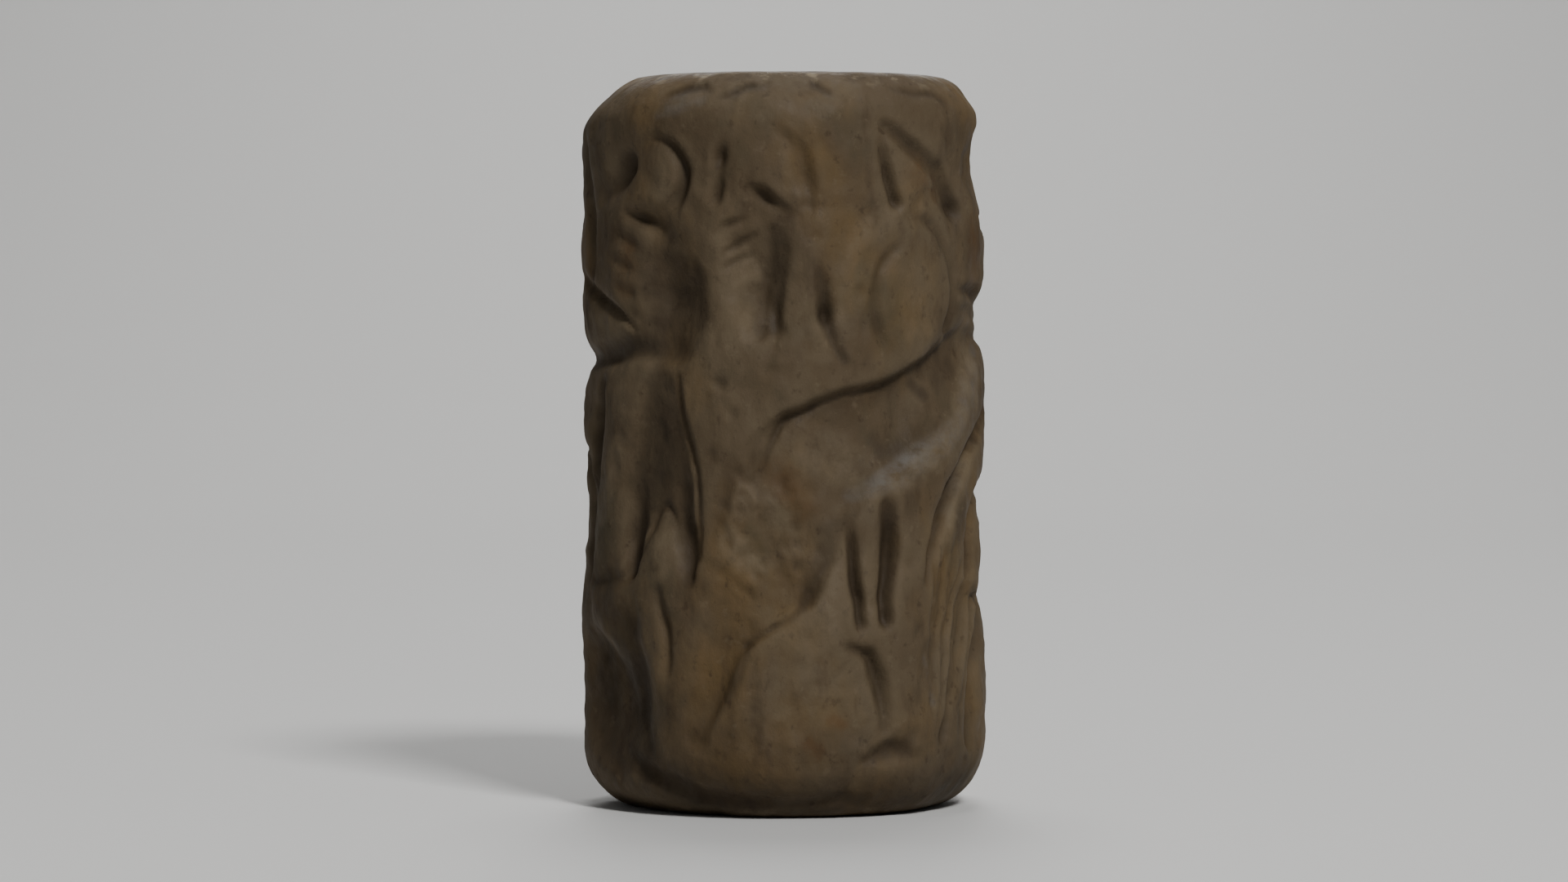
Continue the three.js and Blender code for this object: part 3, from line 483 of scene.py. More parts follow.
        # two long lines of its tail, the second with the fine grooves beside it
        self.cut(Cut.LIMB, [[9.4, 12, 0.22, 0.7], [8.1, 11.3, 0.34, 0.95], [6.8, 10.5, 0.34, 0.95],
            [5.7, 9.4, 0.3, 0.8], [5.0, 8.3, 0.26, 0.6], [4.7, 7.0, 0.2, 0.4]], -0.5)
        self.cut(Cut.LIMB, [[9.9, 9.75, 0.35, 0.9], [8.3, 9.45, 0.42, 0.95], [7.35, 8.5, 0.36, 0.8],
            [6.85, 6.9, 0.26, 0.65], [6.3, 5.1, 0.22, 0.7], [5.45, 2.2, 0.18, 0.6]], 0.3)
        self.cut(Cut.CREASE, [[8.6, 11.4, 0.12, 0.9], [7.5, 10.85, 0.18, 2.0], [6.6, 10.2, 0.2, 2.4],
            [5.75, 9.3, 0.2, 2.4], [5.05, 8.2, 0.16, 1.8], [4.7, 7.0, 0.12, 0.9]], -0.3)
        for k in range(15):
            across = 0.2 * k
            deep = 1.5 + 0.6 * (k % 3)
            top = [5.2 + 1.1 * across, 9.6 - 0.3 * k - 0.6 * (k % 2), 0.07, 0.4]
            middle = [5.0 + 0.95 * across, 6.4, 0.1, deep]
            self.cut(Cut.CREASE, [top, middle, [4.75 + 0.65 * across, 2.3 + 0.7 * (k % 3), 0.07, 0.4]])
        # body, hind legs and tail root
        self.cut(Cut.BODY, [[18.6, 13.8, 0.9, 0.7], [16.6, 12.7, 1.45, 0.85], [14.6, 11.2, 1.55, 0.85],
            [12.4, 9.9, 1.5, 0.9], [10.3, 8.2, 1.65, 1]], 0.2)
        self.cut(Cut.BODY, [[10.4, 8.4, 1.5, 0.95], [9.3, 6.7, 1.15, 0.85], [8.1, 5.1, 0.75, 0.8],
            [7.4, 4.3, 0.5, 0.75]], 0.3)
        self.cut(Cut.LIMB, [[7.5, 4.5, 0.5, 1], [7.35, 3.3, 0.5, 0.9], [7.05, 2.1, 0.35, 0.8]], 0.3)
        self.cut(Cut.LIMB, [[11.9, 7.5, 0.55, 0.9], [12, 5.6, 0.5, 0.9], [12.25, 4.3, 0.3, 0.75]], 0.3)
        self.cut(Cut.LINE, [[12.2, 4.1, 0.3, 0.8], [12.6, 3.2, 0.34, 0.9], [13.1, 2.3, 0.3, 0.8]])
        self.bars(Cut.LINE, [10.9, 10.45], [10.9, 10.45], 1, 0.6, 0.24, 0.1)
        self.bars(Cut.LINE, [18.7, 11.5], [18.7, 10.1], 3, 0.35, 0.28, 0.1)
        # head, shoulder, mane and paws
        self.cut(Cut.BODY, [[-16.6, 18.4, 0.5, 0.65], [-15.8, 17.9, 0.85, 0.85], [-15.3, 17.3, 0.7, 0.8]])
        self.bars(Cut.LINE, [-17.6, 18.75], [-17.3, 17.05], 2, 0.75, 0.24, 0)
        self.bars(Cut.LINE, [17.2, 16.4], [17.2, 16.4], 1, 1, 0.34, 0.2)
        self.cut(Cut.LINE, [[16.8, 13.6, 0.2, 1], [18.7, 14.9, 0.28, 1]])
        self.cut(Cut.LINE, [[16.9, 13.2, 0.2, 1], [19, 12.2, 0.4, 1.1]])
        self.bars(Cut.LIMB, [-16.4, 14.3], [-15.6, 12.3], 4, 2, 0.3, -0.25)

    def standing_goat(self) -> None:
        """Cut the goat behind the man, seized by the left lion."""
        self.cut(Cut.LIMB, [[-12.6, 17.5, 0.45, 1.1], [-11.8, 18.5, 0.45, 1.1], [-10.7, 18.95, 0.42, 1],
            [-10.1, 19.9, 0.12, 0.4]], -0.2)
        self.cut(Cut.LIMB, [[-12.6, 17.5, 0.35, 0.9], [-13.5, 18.35, 0.14, 0.5]])
        self.cut(Cut.LINE, [[-11.9, 17.4, 0.22, 1], [-10.7, 16.8, 0.28, 1], [-9.2, 16, 0.2, 0.9]])
        self.cut(Cut.LIMB, [[-12.7, 15.25, 0.24, 0.9], [-11, 15.45, 0.34, 1], [-9, 15.95, 0.24, 0.9]], 0.3)
        self.cut(Cut.LIMB, [[-12.5, 17.4, 0.6, 1.1], [-13.5, 16.3, 0.75, 1.1], [-14.4, 14.8, 0.5, 0.9]], 0.3)
        self.cut(Cut.LIMB, [[-12.6, 15.9, 0.25, 0.9], [-12.8, 14.2, 0.26, 0.9], [-12.9, 12.2, 0.14, 0.4]])
        self.cut(Cut.BODY, [[-15.6, 12.2, 0.9, 0.6], [-13.8, 11, 1.3, 0.8], [-12, 10, 1.45, 0.9],
            [-10.4, 8.9, 1.4, 0.85]], 0.1)
        self.cut(Cut.LIMB, [[-10.5, 9.4, 1.3, 1.1], [-10.1, 7.3, 0.95, 1], [-10.3, 5.6, 0.7, 0.9],
            [-10.5, 4.4, 0.5, 0.85]], 0.2)
        self.cut(Cut.LIMB, [[-10.6, 4.6, 0.45, 0.8], [-10.4, 3.6, 0.35, 0.8], [-10, 2.6, 0.3, 0.75]])
        self.cut(Cut.LIMB, [[-12.5, 8.2, 0.8, 0.9], [-13, 6.3, 0.6, 0.9], [-13.5, 4.4, 0.42, 0.8],
            [-13.3, 2.6, 0.3, 0.7]])
        self.cut(Cut.LINE, [[-10.6, 11.05, 0.25, 0.9], [-9.4, 10.95, 0.32, 1], [-8.4, 10, 0.36, 1.2],
            [-7.85, 8.3, 0.34, 1], [-8.0, 6.9, 0.16, 0.6]], 0.3)

    def wear(self) -> None:
        """Cut the worn and chipped places of the wall that belong to no figure."""
        self.cut(Cut.WEAR, [[-13.0, 22.4, 1.4, 1.0], [-9.6, 22.5, 2.1, 2.4], [-6.6, 22.5, 1.3, 1.0]])
        self.cut(Cut.WEAR, [[-11.7, 22.2, 0.7, 1.3], [-11.5, 21.3, 0.5, 0.7]])
        self.cut(Cut.WEAR, [[-6.2, 22.2, 0.5, 0.9], [-2.9, 22.3, 0.5, 0.8]])
        self.cut(Cut.WEAR, [[2.0, 22.3, 0.4, 0.8], [2.6, 22.1, 0.3, 0.6]])
        self.cut(Cut.WEAR, [[-7.2, 2.5, 0.3, 0.6], [-5.6, 1.45, 0.55, 1.7], [-3.8, 0.92, 0.5, 1.5],
            [-1.8, 0.6, 0.4, 1.1], [0.5, 0.45, 0.35, 0.8], [2.8, 0.5, 0.3, 0.5]], 0.4)
        self.cut(Cut.WEAR, [[7.6, 21.5, 0.5, 0.5], [9.4, 21.4, 0.8, 1.2], [11.2, 21.6, 0.7, 0.8]])
        self.cut(Cut.WEAR, [[-7.2, 0, 0.6, 0.8], [-4.8, -0.1, 0.5, 0.9], [-2.4, 0, 0.5, 0.8]])
        self.cut(Cut.WEAR, [[10, 0.2, 0.7, 0.8], [12.2, 0.1, 0.9, 0.9]])
        self.cut(Cut.LINE, [[6.9, 12.9, 0.16, 0.6], [6.4, 13.9, 0.2, 1.1], [6.0, 14.4, 0.2, 1.3]])

    def pits(self) -> None:
        """Add small pits and fine scratches, with more pits close together on the worn thigh."""
        random = np.random.default_rng(self.seed)
        for _ in range(self.pit_count):
            u, z = random.uniform(-19, 19), random.uniform(0.2, 22)
            size, share = random.uniform(0.1, 0.24), random.uniform(0.15, 0.5)
            reach = random.uniform(0.05, 0.3)
            lean = random.uniform(0, 2 * pi)
            end = [u + reach * cos(lean), z + reach * sin(lean), size * 0.7, share * 0.6]
            self.cut(Cut.CREASE, [[u, z, size, share], end])
        for _ in range(self.pit_count // 3):
            u, z = random.normal(-0.7, 0.6), random.normal(8.6, 0.9)
            self.cut(Cut.CREASE, [[u, z, 0.2, 0.6], [u + 0.1, z - 0.15, 0.15, 0.4]])
        for _ in range(self.scratch_count):
            u, z = random.uniform(-19, 19), random.uniform(1, 21)
            reach, lean = random.uniform(0.6, 2.2), random.normal(pi / 2, 0.5)
            middle = [u + reach * cos(lean), z + reach * sin(lean), 0.09, random.uniform(0.12, 0.3)]
            end = [u + 2 * reach * cos(lean), z + 2 * reach * sin(lean) + 0.1, 0.05, 0.1]
            self.cut(Cut.CREASE, [[u, z, 0.05, 0.1], middle, end])

    def patina_and_painted_light(self) -> None:
        """Lay the dark patina and painted shade of the hollows, the blue-grey bloom and painted highlight
        along the belly, the rust, and the rubbed ridges with their painted highlight.
        """
        # painted shade with dark patina: these patches darken the hollows and the slopes turned from the
        # light
        soil_and_shade = (
            # the man: his hair, beard, shoulder and kilt, and the hollow at his feet
            [[-5.7, 19.5, 0.35, 0.5], [-5.25, 19.75, 0.35, 0.7]],
            [[-3.6, 17.2, 0.7, 0.5], [-3.5, 15.5, 1.1, 0.9], [-3.9, 14.5, 0.9, 0.7]],
            [[-7.6, 13.8, 0.35, 0.6], [-5.5, 13.95, 0.45, 0.9], [-3.6, 14.1, 0.5, 0.8]],
            [[-4.0, 13.0, 0.7, 0.7], [-4.1, 11.3, 1.05, 0.95], [-4.3, 10.0, 1.3, 0.9]],
            [[-4.8, 9.5, 0.35, 0.6], [-5.15, 8.6, 0.4, 0.9], [-5.2, 7.5, 0.3, 1.0]],
            [[-3.3, 9.7, 0.45, 0.5], [-3.05, 8.4, 0.4, 0.8], [-2.85, 7.1, 0.25, 0.6]],
            [[-6.9, 12.8, 0.5, 1.0], [-7.1, 11.9, 0.5, 1.0], [-7.6, 10.4, 0.45, 0.7],
                [-7.9, 9.0, 0.4, 0.4]],
            [[-7.6, 7.2, 0.6, 0.6], [-5.6, 5.9, 0.9, 0.6], [-5.4, 4.2, 1.1, 1.0], [-5.1, 1.9, 0.9, 0.9]],
            [[-3.2, 5.4, 0.5, 0.4], [-3.2, 4.2, 0.8, 0.6], [-3.4, 2.6, 0.9, 0.8], [-3.5, 1.4, 0.9, 1.0]],
            [[-5.0, 17.6, 0.4, 0.5], [-4.7, 16.6, 0.45, 0.8], [-4.5, 15.6, 0.5, 0.8]],
            [[-8.2, 6.2, 0.5, 0.5], [-7.4, 4.8, 0.8, 0.9], [-7.2, 3.2, 0.8, 0.9]],
            # the scorpion's trough, the pit of the horn, the goat's head and flank, and the right edge
            [[-0.1, 17.6, 0.5, 0.6], [-0.15, 16.6, 0.5, 0.8], [-0.3, 15.4, 0.3, 0.7],
                [-0.38, 14.5, 0.25, 0.8]],
            [[1.0, 16.1, 0.35, 0.4], [1.2, 14.9, 0.35, 1.0], [1.9, 13.8, 0.2, 0.8]],
            [[6.2, 18.6, 0.5, 0.7], [6.9, 17.0, 0.8, 0.5], [7.0, 15.6, 0.8, 0.5], [6.2, 14.5, 0.5, 0.8]],
            [[5.6, 12.9, 0.4, 0.5], [6.5, 13.3, 0.4, 0.7]],
            [[2.9, 11.3, 0.3, 0.4], [3.5, 10.95, 0.3, 0.6], [4.4, 11.5, 0.3, 0.3]],
            [[6.2, 20.6, 0.5, 0.4], [7.2, 19.6, 0.8, 0.6], [8.0, 17.6, 0.9, 0.6], [7.9, 15.7, 0.7, 0.5]],
            [[4.5, 12.85, 0.25, 0.7], [4.9, 12.5, 0.28, 0.8]],
            [[5.9, 13.8, 0.25, 0.7], [6.1, 13.1, 0.22, 0.6]],
            # round the goat's legs
            [[1.4, 8.3, 0.35, 0.5], [0.95, 7.4, 0.35, 0.55], [0.6, 6.6, 0.28, 0.55],
                [0.2, 6.1, 0.2, 0.4]],
            [[1.2, 8.6, 0.4, 0.5], [2.4, 8.9, 0.4, 0.4], [3.2, 9.0, 0.5, 0.6]],
            [[2.0, 8.4, 0.25, 0.4], [2.15, 7.0, 0.25, 0.6], [2.4, 5.8, 0.2, 0.5]],
            [[3.2, 8.9, 0.4, 0.6], [3.3, 7.2, 0.4, 0.7], [3.2, 6.0, 0.3, 0.5]],
            [[-1.1, 5.2, 0.2, 0.7], [-1.5, 4.0, 0.25, 0.8], [-2.1, 2.7, 0.2, 0.4]],
            [[2.6, 1.95, 0.3, 0.6], [3.5, 2.15, 0.4, 1.0], [4.3, 1.95, 0.3, 0.5]],
            # the foot of the wall
            [[-6.4, 1.8, 0.5, 0.6], [-4.6, 1.0, 0.6, 0.9], [-2, 0.45, 0.5, 0.9], [2.4, 0.2, 0.4, 0.7]],
            [[-6.8, 2.0, 1.0, 0.7], [-4.4, 1.7, 1.1, 0.9], [-1.6, 1.1, 1.0, 0.7], [1.2, 0.8, 1.0, 0.65],
                [4.2, 0.8, 1.0, 0.65], [6.8, 1.1, 1.0, 0.6]],
            [[-7.5, 2.6, 1.0, 0.4], [-2.5, 2.2, 1.1, 0.45], [2.5, 1.9, 1.1, 0.4], [7.5, 2.2, 1.0, 0.4]],
        )
        # blue-grey bloom; along the belly it is also a painted highlight on the edge that faces up to the
        # light
        bloom = (
            [[2.1, 9.65, 0.3, 0.6], [3.1, 10.05, 0.45, 1.0], [4.1, 10.55, 0.55, 1.0],
                [5.3, 11.05, 0.5, 1.0], [6.3, 11.7, 0.4, 0.8], [7.1, 12.8, 0.35, 0.6]],
            [[8.2, 13.9, 0.3, 0.5], [7.4, 12.6, 0.35, 0.7], [7.3, 11.6, 0.3, 0.5]],
            [[4.6, 4.8, 0.12, 0.4], [4.9, 3.2, 0.14, 0.5]],
            [[-3.9, 20.9, 0.3, 0.4], [-3.2, 21.3, 0.5, 0.7], [-2.5, 21.4, 0.3, 0.5]],
        )
        rust = (
            [[0.6, 2.4, 0.3, 0.9], [0.95, 2.15, 0.35, 0.9]],
            [[1.4, 3.1, 0.25, 0.7], [1.7, 2.9, 0.2, 0.5]],
            [[-0.3, 10.4, 0.6, 0.5], [0.5, 9.4, 0.7, 0.5]],
            [[-5.2, 16.9, 0.6, 0.6], [-5.4, 15.8, 0.5, 0.6]],
            [[4.2, 19.2, 0.7, 0.6], [5.2, 18.6, 0.5, 0.5]],
            [[7.4, 17.4, 0.9, 0.8], [7.6, 16.2, 0.9, 0.9]],
        )
        # rubbed ridges: pale wear together with painted highlight on slopes that face the light
        rubbed_and_highlight = (
            [[-2.1, 17.7, 0.4, 0.5], [-1.55, 16.7, 0.65, 1.0], [-1.25, 15.6, 0.6, 1.0],
                [-1.15, 14.4, 0.5, 0.7]],
            [[-2.2, 14.0, 0.8, 0.5], [-1.7, 12.4, 0.9, 0.4]],
            [[-5.6, 12.8, 0.35, 0.9], [-5.8, 11.6, 0.4, 1.0], [-6.2, 10.2, 0.45, 1.0],
                [-6.8, 8.6, 0.5, 0.9], [-7.0, 7.6, 0.3, 0.4]],
            [[-4.0, 9.0, 0.15, 0.7], [-4.05, 8.2, 0.35, 1.0], [-4.0, 7.5, 0.6, 0.7]],
            [[-4.3, 19.2, 0.6, 0.5], [-4.0, 18.6, 0.35, 0.8]],
            [[-0.2, 11.1, 0.8, 0.4], [0.9, 10.9, 1.0, 0.8], [2.0, 10.4, 0.9, 0.7], [2.6, 9.7, 0.5, 0.5]],
            [[3.6, 12.1, 0.7, 0.3], [4.8, 12.3, 0.8, 0.5]],
            [[-0.9, 9.7, 0.7, 0.5], [-0.2, 8.8, 0.8, 0.9], [0.5, 8.0, 0.6, 0.6]],
            [[3.6, 10.0, 0.4, 0.7], [4.9, 10.6, 0.6, 1.0], [6.2, 11.5, 0.7, 1.0], [7.3, 12.8, 0.7, 1.0]],
            [[0.0, 3.6, 1.4, 0.6], [1.3, 4.4, 1.0, 0.5], [0.4, 5.4, 0.9, 0.6]],
            [[-7.4, 14.9, 0.3, 0.8], [-6.2, 14.5, 0.32, 1.0], [-5.3, 14.1, 0.2, 0.6]],
            [[-1.6, 8.3, 0.5, 0.9], [-1.0, 7.8, 0.55, 1.0], [-0.3, 7.9, 0.4, 0.5]],
            [[-0.9, 6.2, 0.4, 0.5], [0.2, 5.7, 0.6, 0.6], [1.3, 6.0, 0.6, 0.6], [1.4, 7.3, 0.3, 0.6]],
            [[0.5, 13.4, 0.8, 0.4], [1.7, 15.6, 0.5, 0.4], [2.1, 17.0, 0.4, 0.6], [3.4, 17.9, 0.4, 0.6]],
            [[4.3, 14.4, 0.9, 0.6], [4.3, 16.0, 0.9, 0.4]],
            [[5.2, 7.6, 0.2, 0.5], [5.6, 8.5, 0.25, 1.0], [6.7, 9.9, 0.3, 1.0], [8.0, 11.0, 0.3, 0.8]],
            [[7.0, 14.6, 0.3, 0.6], [7.7, 13.6, 0.45, 1.0], [7.7, 12.2, 0.4, 0.9]],
            [[-6.6, 15.0, 0.35, 0.9], [-5.7, 14.5, 0.3, 0.9]],
            [[-3.1, 21.9, 1.6, 0.5], [1.0, 21.9, 1.6, 0.4]],
        )
        for kind, ways in zip(Tint, (soil_and_shade, bloom, rust, rubbed_and_highlight)):
            for way in ways:
                self.tint_patch(kind, way)
        # chips in the rim, each darkened round about with painted shade and patina
        for way in self.rim_breaks:
            self.cut(Cut.CREASE, way)
            soiled_and_shaded = [
                [u, z, self.chip_shade_spread * girth, self.chip_shade_share * share] for u, z, girth, share in way
            ]
            self.tint_patch(Tint.SHADE, soiled_and_shaded)

    def raster(self) -> None:
        """Draw the sheet as grids: the depths, with worn edges and creases; the cavity map, which later
        paints shade into the creases and highlight onto the crests; and the tints.
        """
        across = int(round(self.sheet_turn / self.grid))
        up = int(round((self.sheet_height + 2 * self.margin) / self.grid))
        u = (np.arange(across) / across - 0.5) * self.sheet_turn
        z = np.arange(up + 1) / up * (self.sheet_height + 2 * self.margin) - self.margin
        sheet_u, sheet_z = np.meshgrid(u, z, indexing="ij")
        hand = Grain(self.seed)
        tremor = self.tremor_share * self.wobble
        turn_share = sheet_u / self.sheet_turn + 0.5
        height_share = (sheet_z + self.margin) / (self.sheet_height + 2 * self.margin)
        shaken_u = sheet_u + self.wobble * hand.layer(turn_share, height_share, *self.wobble_lumps)
        shaken_u += tremor * hand.layer(turn_share, height_share, *self.tremor_lumps)
        shaken_z = sheet_z + self.wobble * hand.layer(turn_share, height_share, *self.wobble_lumps)
        shaken_z += tremor * hand.layer(turn_share, height_share, *self.tremor_lumps)
        press = 1 + self.unevenness * hand.layer(turn_share, height_share, *self.press_lumps)
        carved = np.zeros(sheet_u.shape)
        creases = np.zeros(sheet_u.shape)
        for course in self.cuts:
            low, high = course.way.min(0), course.way.max(0)
            middle = (low[0] + high[0]) / 2
            half = self.sheet_turn / 2
            own_u = (shaken_u - middle + half) % self.sheet_turn - half + middle
            reach = high[2]
            near = (own_u > low[0] - reach) & (own_u < high[0] + reach)
            near &= (shaken_z > low[1] - reach) & (shaken_z < high[1] + reach)
            own = course.depth(own_u[near], shaken_z[near])
            if course.kind is Cut.CREASE:
                creases[near] = np.maximum(creases[near], own)
                continue
            so_far = carved[near]
            apart = np.sqrt((so_far - own) ** 2 + self.softening**2)
            joined = (so_far + own + apart - self.softening) / 2
            carved[near] = np.maximum(joined, np.maximum(so_far, own))
        for kind, courses in self.tint_courses.items():
            sheet = np.zeros(sheet_u.shape)
            for course in courses:
                sheet = np.maximum(sheet, course.depth(shaken_u, shaken_z))
            self.tints[kind] = sheet
        carved = self.blurred(carved * press, self.polish)
        worn = self.blurred(carved, self.wear_reach) - self.wear_lip
        carved = (carved + worn + np.sqrt((carved - worn) ** 2 + self.softening**2)) / 2
        self.map = np.maximum(self.blurred(carved + creases, self.last_polish), 0)
        # cavity map: positive in creases and hollows, negative on crests; the stone's colour turns it into
        # painted shade and painted highlight
        self.cavity = self.map - self.blurred(self.map, self.cavity_reach)

    def blurred(self, values: np.ndarray, reach: float) -> np.ndarray:
        """Soften a grid of values with a bell curve.

        Args:
            values: The grid.
            reach: The bell's width in millimetres.

        Returns:
            The softened grid.
        """
        along = np.fft.fftfreq(values.shape[0], self.grid)[:, None]
        upward = np.fft.rfftfreq(values.shape[1], self.grid)[None, :]
        bell = np.exp(-2 * (pi * reach) ** 2 * (along**2 + upward**2))
        return np.fft.irfft2(np.fft.rfft2(values) * bell, s=values.shape)

    def read(self, sheet: np.ndarray, turn: np.ndarray, height: np.ndarray) -> np.ndarray:
        """Read values off a sheet.

        Args:
            sheet: The depths, the cavity map or a tint.
            turn: Angles round the seal in radians, 0 in front.
            height: Heights on the seal in millimetres.

        Returns:
            The sheet's values there.
        """
        across, up = sheet.shape[0], sheet.shape[1] - 1
        x = ((turn / (2 * pi) + 0.5) % 1.0) * across
        y = np.clip((height + self.margin) / (self.sheet_height + 2 * self.margin), 0, 1) * (up - 1e-6)
        i, j = np.floor(x).astype(int), np.floor(y).astype(int)
        fx, fy = x - i, y - j
        i %= across
        right = (i + 1) % across
        low = sheet[i, j] * (1 - fx) + sheet[right, j] * fx
        high = sheet[i, j + 1] * (1 - fx) + sheet[right, j + 1] * fx
        return low * (1 - fy) + high * fy


@dataclass
class StoneBody:
    """The turned stone: sizes in millimetres, and the mesh that carries the frieze."""

    height: float = 22.2
    radius: float = 6.22
    base_edge_in: float = 1.6
    base_edge_up: float = 1.9
    top_edge_in: float = 1.5
    top_edge_down: float = 1.6
    edge_fullness: float = 1.8
    bore_radius: float = 1.6
    mouth_widening: float = 0.3
    mouth_depth: float = 0.5
    columns: int = 372
    rows: int = 238
    face_rings: int = 5
    bore_rows: int = 3
    front_crowding: float = 0.32
    end_crowding: float = 0.28
    spread_turn: float = 0.003
    spread_up: float = 0.03
    swell_seed: int = 11
    swell_lumps: tuple[tuple[int, int, float], ...] = (
        (11, 7, 0.06),
        (27, 16, 0.055),
        (66, 40, 0.03),
        (150, 90, 0.012),
    )
    lump_shift: float = 0.3
    ridge_lumps: tuple[int, int] = (46, 27)
    ridge_shift: float = 0.005
    ridge_height: float = 0.05
    skin: float = 0.05
    proudest: float = -0.01
    rim_chalk_from: float = 21.5
    rim_chalk_up: float = 0.6
    foot_chalk: float = 0.5
    foot_chalk_up: float = 0.35
    bore_shade: float = 0.8
    face_chalk: float = 0.12
    face_edge_chalk: float = 0.5
    frieze: Frieze = field(default_factory=Frieze)

    def edge(self, t: np.ndarray, inward: float) -> np.ndarray:
        """Give how far a rounded edge comes in.

        Args:
            t: 0 at the flat end, 1 where the wall starts.
            inward: Full width of the edge.

        Returns:
            Millimetres inward.
        """
        power = self.edge_fullness
        return inward * (1 - (1 - (1 - np.clip(t, 0, 1)) ** power) ** (1 / power))

    def wall_heights(self) -> np.ndarray:
        """Space the rows up the wall, closer where the ends curve in."""
        t = np.linspace(0, 1, self.rows + 1)
        ends = 0.5 - 0.5 * np.cos(pi * t)
        return self.height * ((1 - self.end_crowding) * t + self.end_crowding * ends)

    def wall_turns(self) -> np.ndarray:
        """Space the columns round the wall, closer in front."""
        t = np.arange(self.columns) / self.columns
        return 2 * pi * (t - 0.5) - self.front_crowding * np.sin(2 * pi * (t - 0.5))

    def wall(self) -> tuple[np.ndarray, dict[str, np.ndarray]]:
        """Carve and weather the wall.

        Returns:
            Radius of each place, and its depth of cut, cavity map (for painted shade and highlight) and
            tints by name, as columns by rows.
        """
        heights = self.wall_heights()
        turns = self.wall_turns()
        turn, height = np.meshgrid(turns, heights, indexing="ij")
        radius = self.radius - self.edge(height / self.base_edge_up, self.base_edge_in)
        radius -= self.edge((self.height - height) / self.top_edge_down, self.top_edge_in)
        depth = np.zeros(turn.shape)
        for du in (-self.spread_turn, self.spread_turn):
            for dz in (-self.spread_up, self.spread_up):
                depth += self.frieze.read(self.frieze.map, turn + du, height + dz) / 4
        # cavity map of the carving, read for painted shade in the creases and painted highlight on the
        # crests
        cavity = self.frieze.read(self.frieze.cavity, turn, height)
        grain = Grain(self.swell_seed)
        share_u, share_z = turn / (2 * pi) + 0.5, height / self.height
        swell = np.zeros(turn.shape)
        for columns, rows, rise in self.swell_lumps:
            swell += rise * grain.layer(share_u + self.lump_shift / columns, share_z, columns, rows)
        ridges = grain.layer(share_u + self.ridge_shift, share_z, *self.ridge_lumps)
        swell += np.abs(ridges) * self.ridge_height
        radius -= depth + np.maximum(self.skin + swell, self.proudest)
        chalk = np.clip((height - self.rim_chalk_from) / self.rim_chalk_up, 0, 1) ** 2
        chalk += self.foot_chalk * np.clip(1 - height / self.foot_chalk_up, 0, 1)
        values = {"carving": depth, "cavity": cavity, "chalk": chalk}
        for kind, sheet in self.frieze.tints.items():
            values[kind.title] = self.frieze.read(sheet, turn, height)
        return radius, values

    def build(self) -> bpy.types.Object:
        """Make the seal's mesh with its depth of cut, cavity map and tints (stains, painted shade and
        painted highlight) as attributes.

        Returns:
            The new object, in metres.
        """
        radius, values = self.wall()
        heights = self.wall_heights()
        turns = self.wall_turns()
        zero = np.zeros(self.columns)
        rings = [(radius[:, row], zero + height) for row, height in enumerate(heights)]
        inner = self.bore_radius + self.mouth_widening
        for ring in range(1, self.face_rings + 1):
            t = ring / self.face_rings
            rings.append((radius[:, -1] * (1 - t) + inner * t, zero + self.height))
        bore = np.linspace(self.height - self.mouth_depth, self.mouth_depth, self.bore_rows + 1)
        for height in bore:
            rings.append((zero + self.bore_radius, zero + height))
        for ring in range(self.face_rings):
            t = ring / self.face_rings
            rings.append((inner * (1 - t) + radius[:, 0] * t, zero))
        count = len(rings)
        radii, levels = (np.stack(parts, 1) for parts in zip(*rings))
        x = radii * np.sin(turns)[:, None]
        y = -radii * np.cos(turns)[:, None]
        points = np.stack([x, y, levels], -1).reshape(-1, 3) * MM
        column = np.arange(self.columns)[:, None]
        ring_index = np.arange(count)[None, :]
        next_column = (column + 1) % self.columns
        next_ring = (ring_index + 1) % count
        a = column * count + ring_index
        b = next_column * count + ring_index
        c = next_column * count + next_ring
        d = column * count + next_ring
        faces = np.stack([a, b, c, d], -1).reshape(-1, 4)
        mesh = bpy.data.meshes.new("carved_seal")
        mesh.from_pydata(points.tolist(), [], faces.tolist())
        bore_start = len(heights) + self.face_rings
        for name, on_wall in values.items():
            everywhere = np.zeros((self.columns, count), np.float32)
            everywhere[:, :len(heights)] = on_wall
            # painted shade inside the bore
            if name == "shade":
                everywhere[:, bore_start:bore_start + len(bore)] = self.bore_shade
            if name == "chalk":
                everywhere[:, len(heights):bore_start] = self.face_chalk
                everywhere[:, len(heights)] = self.face_edge_chalk
            layer = mesh.attributes.new(name, "FLOAT", "POINT")
            layer.data.foreach_set("value", everywhere.reshape(-1))
        mesh.polygons.foreach_set("use_smooth", np.ones(len(mesh.polygons), bool))
        mesh.validate()
        mesh.update()
        seal = bpy.data.objects.new("carved_seal", mesh)
        bpy.context.scene.collection.objects.link(seal)
        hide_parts(NODE)
        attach(seal, "root")
        return seal


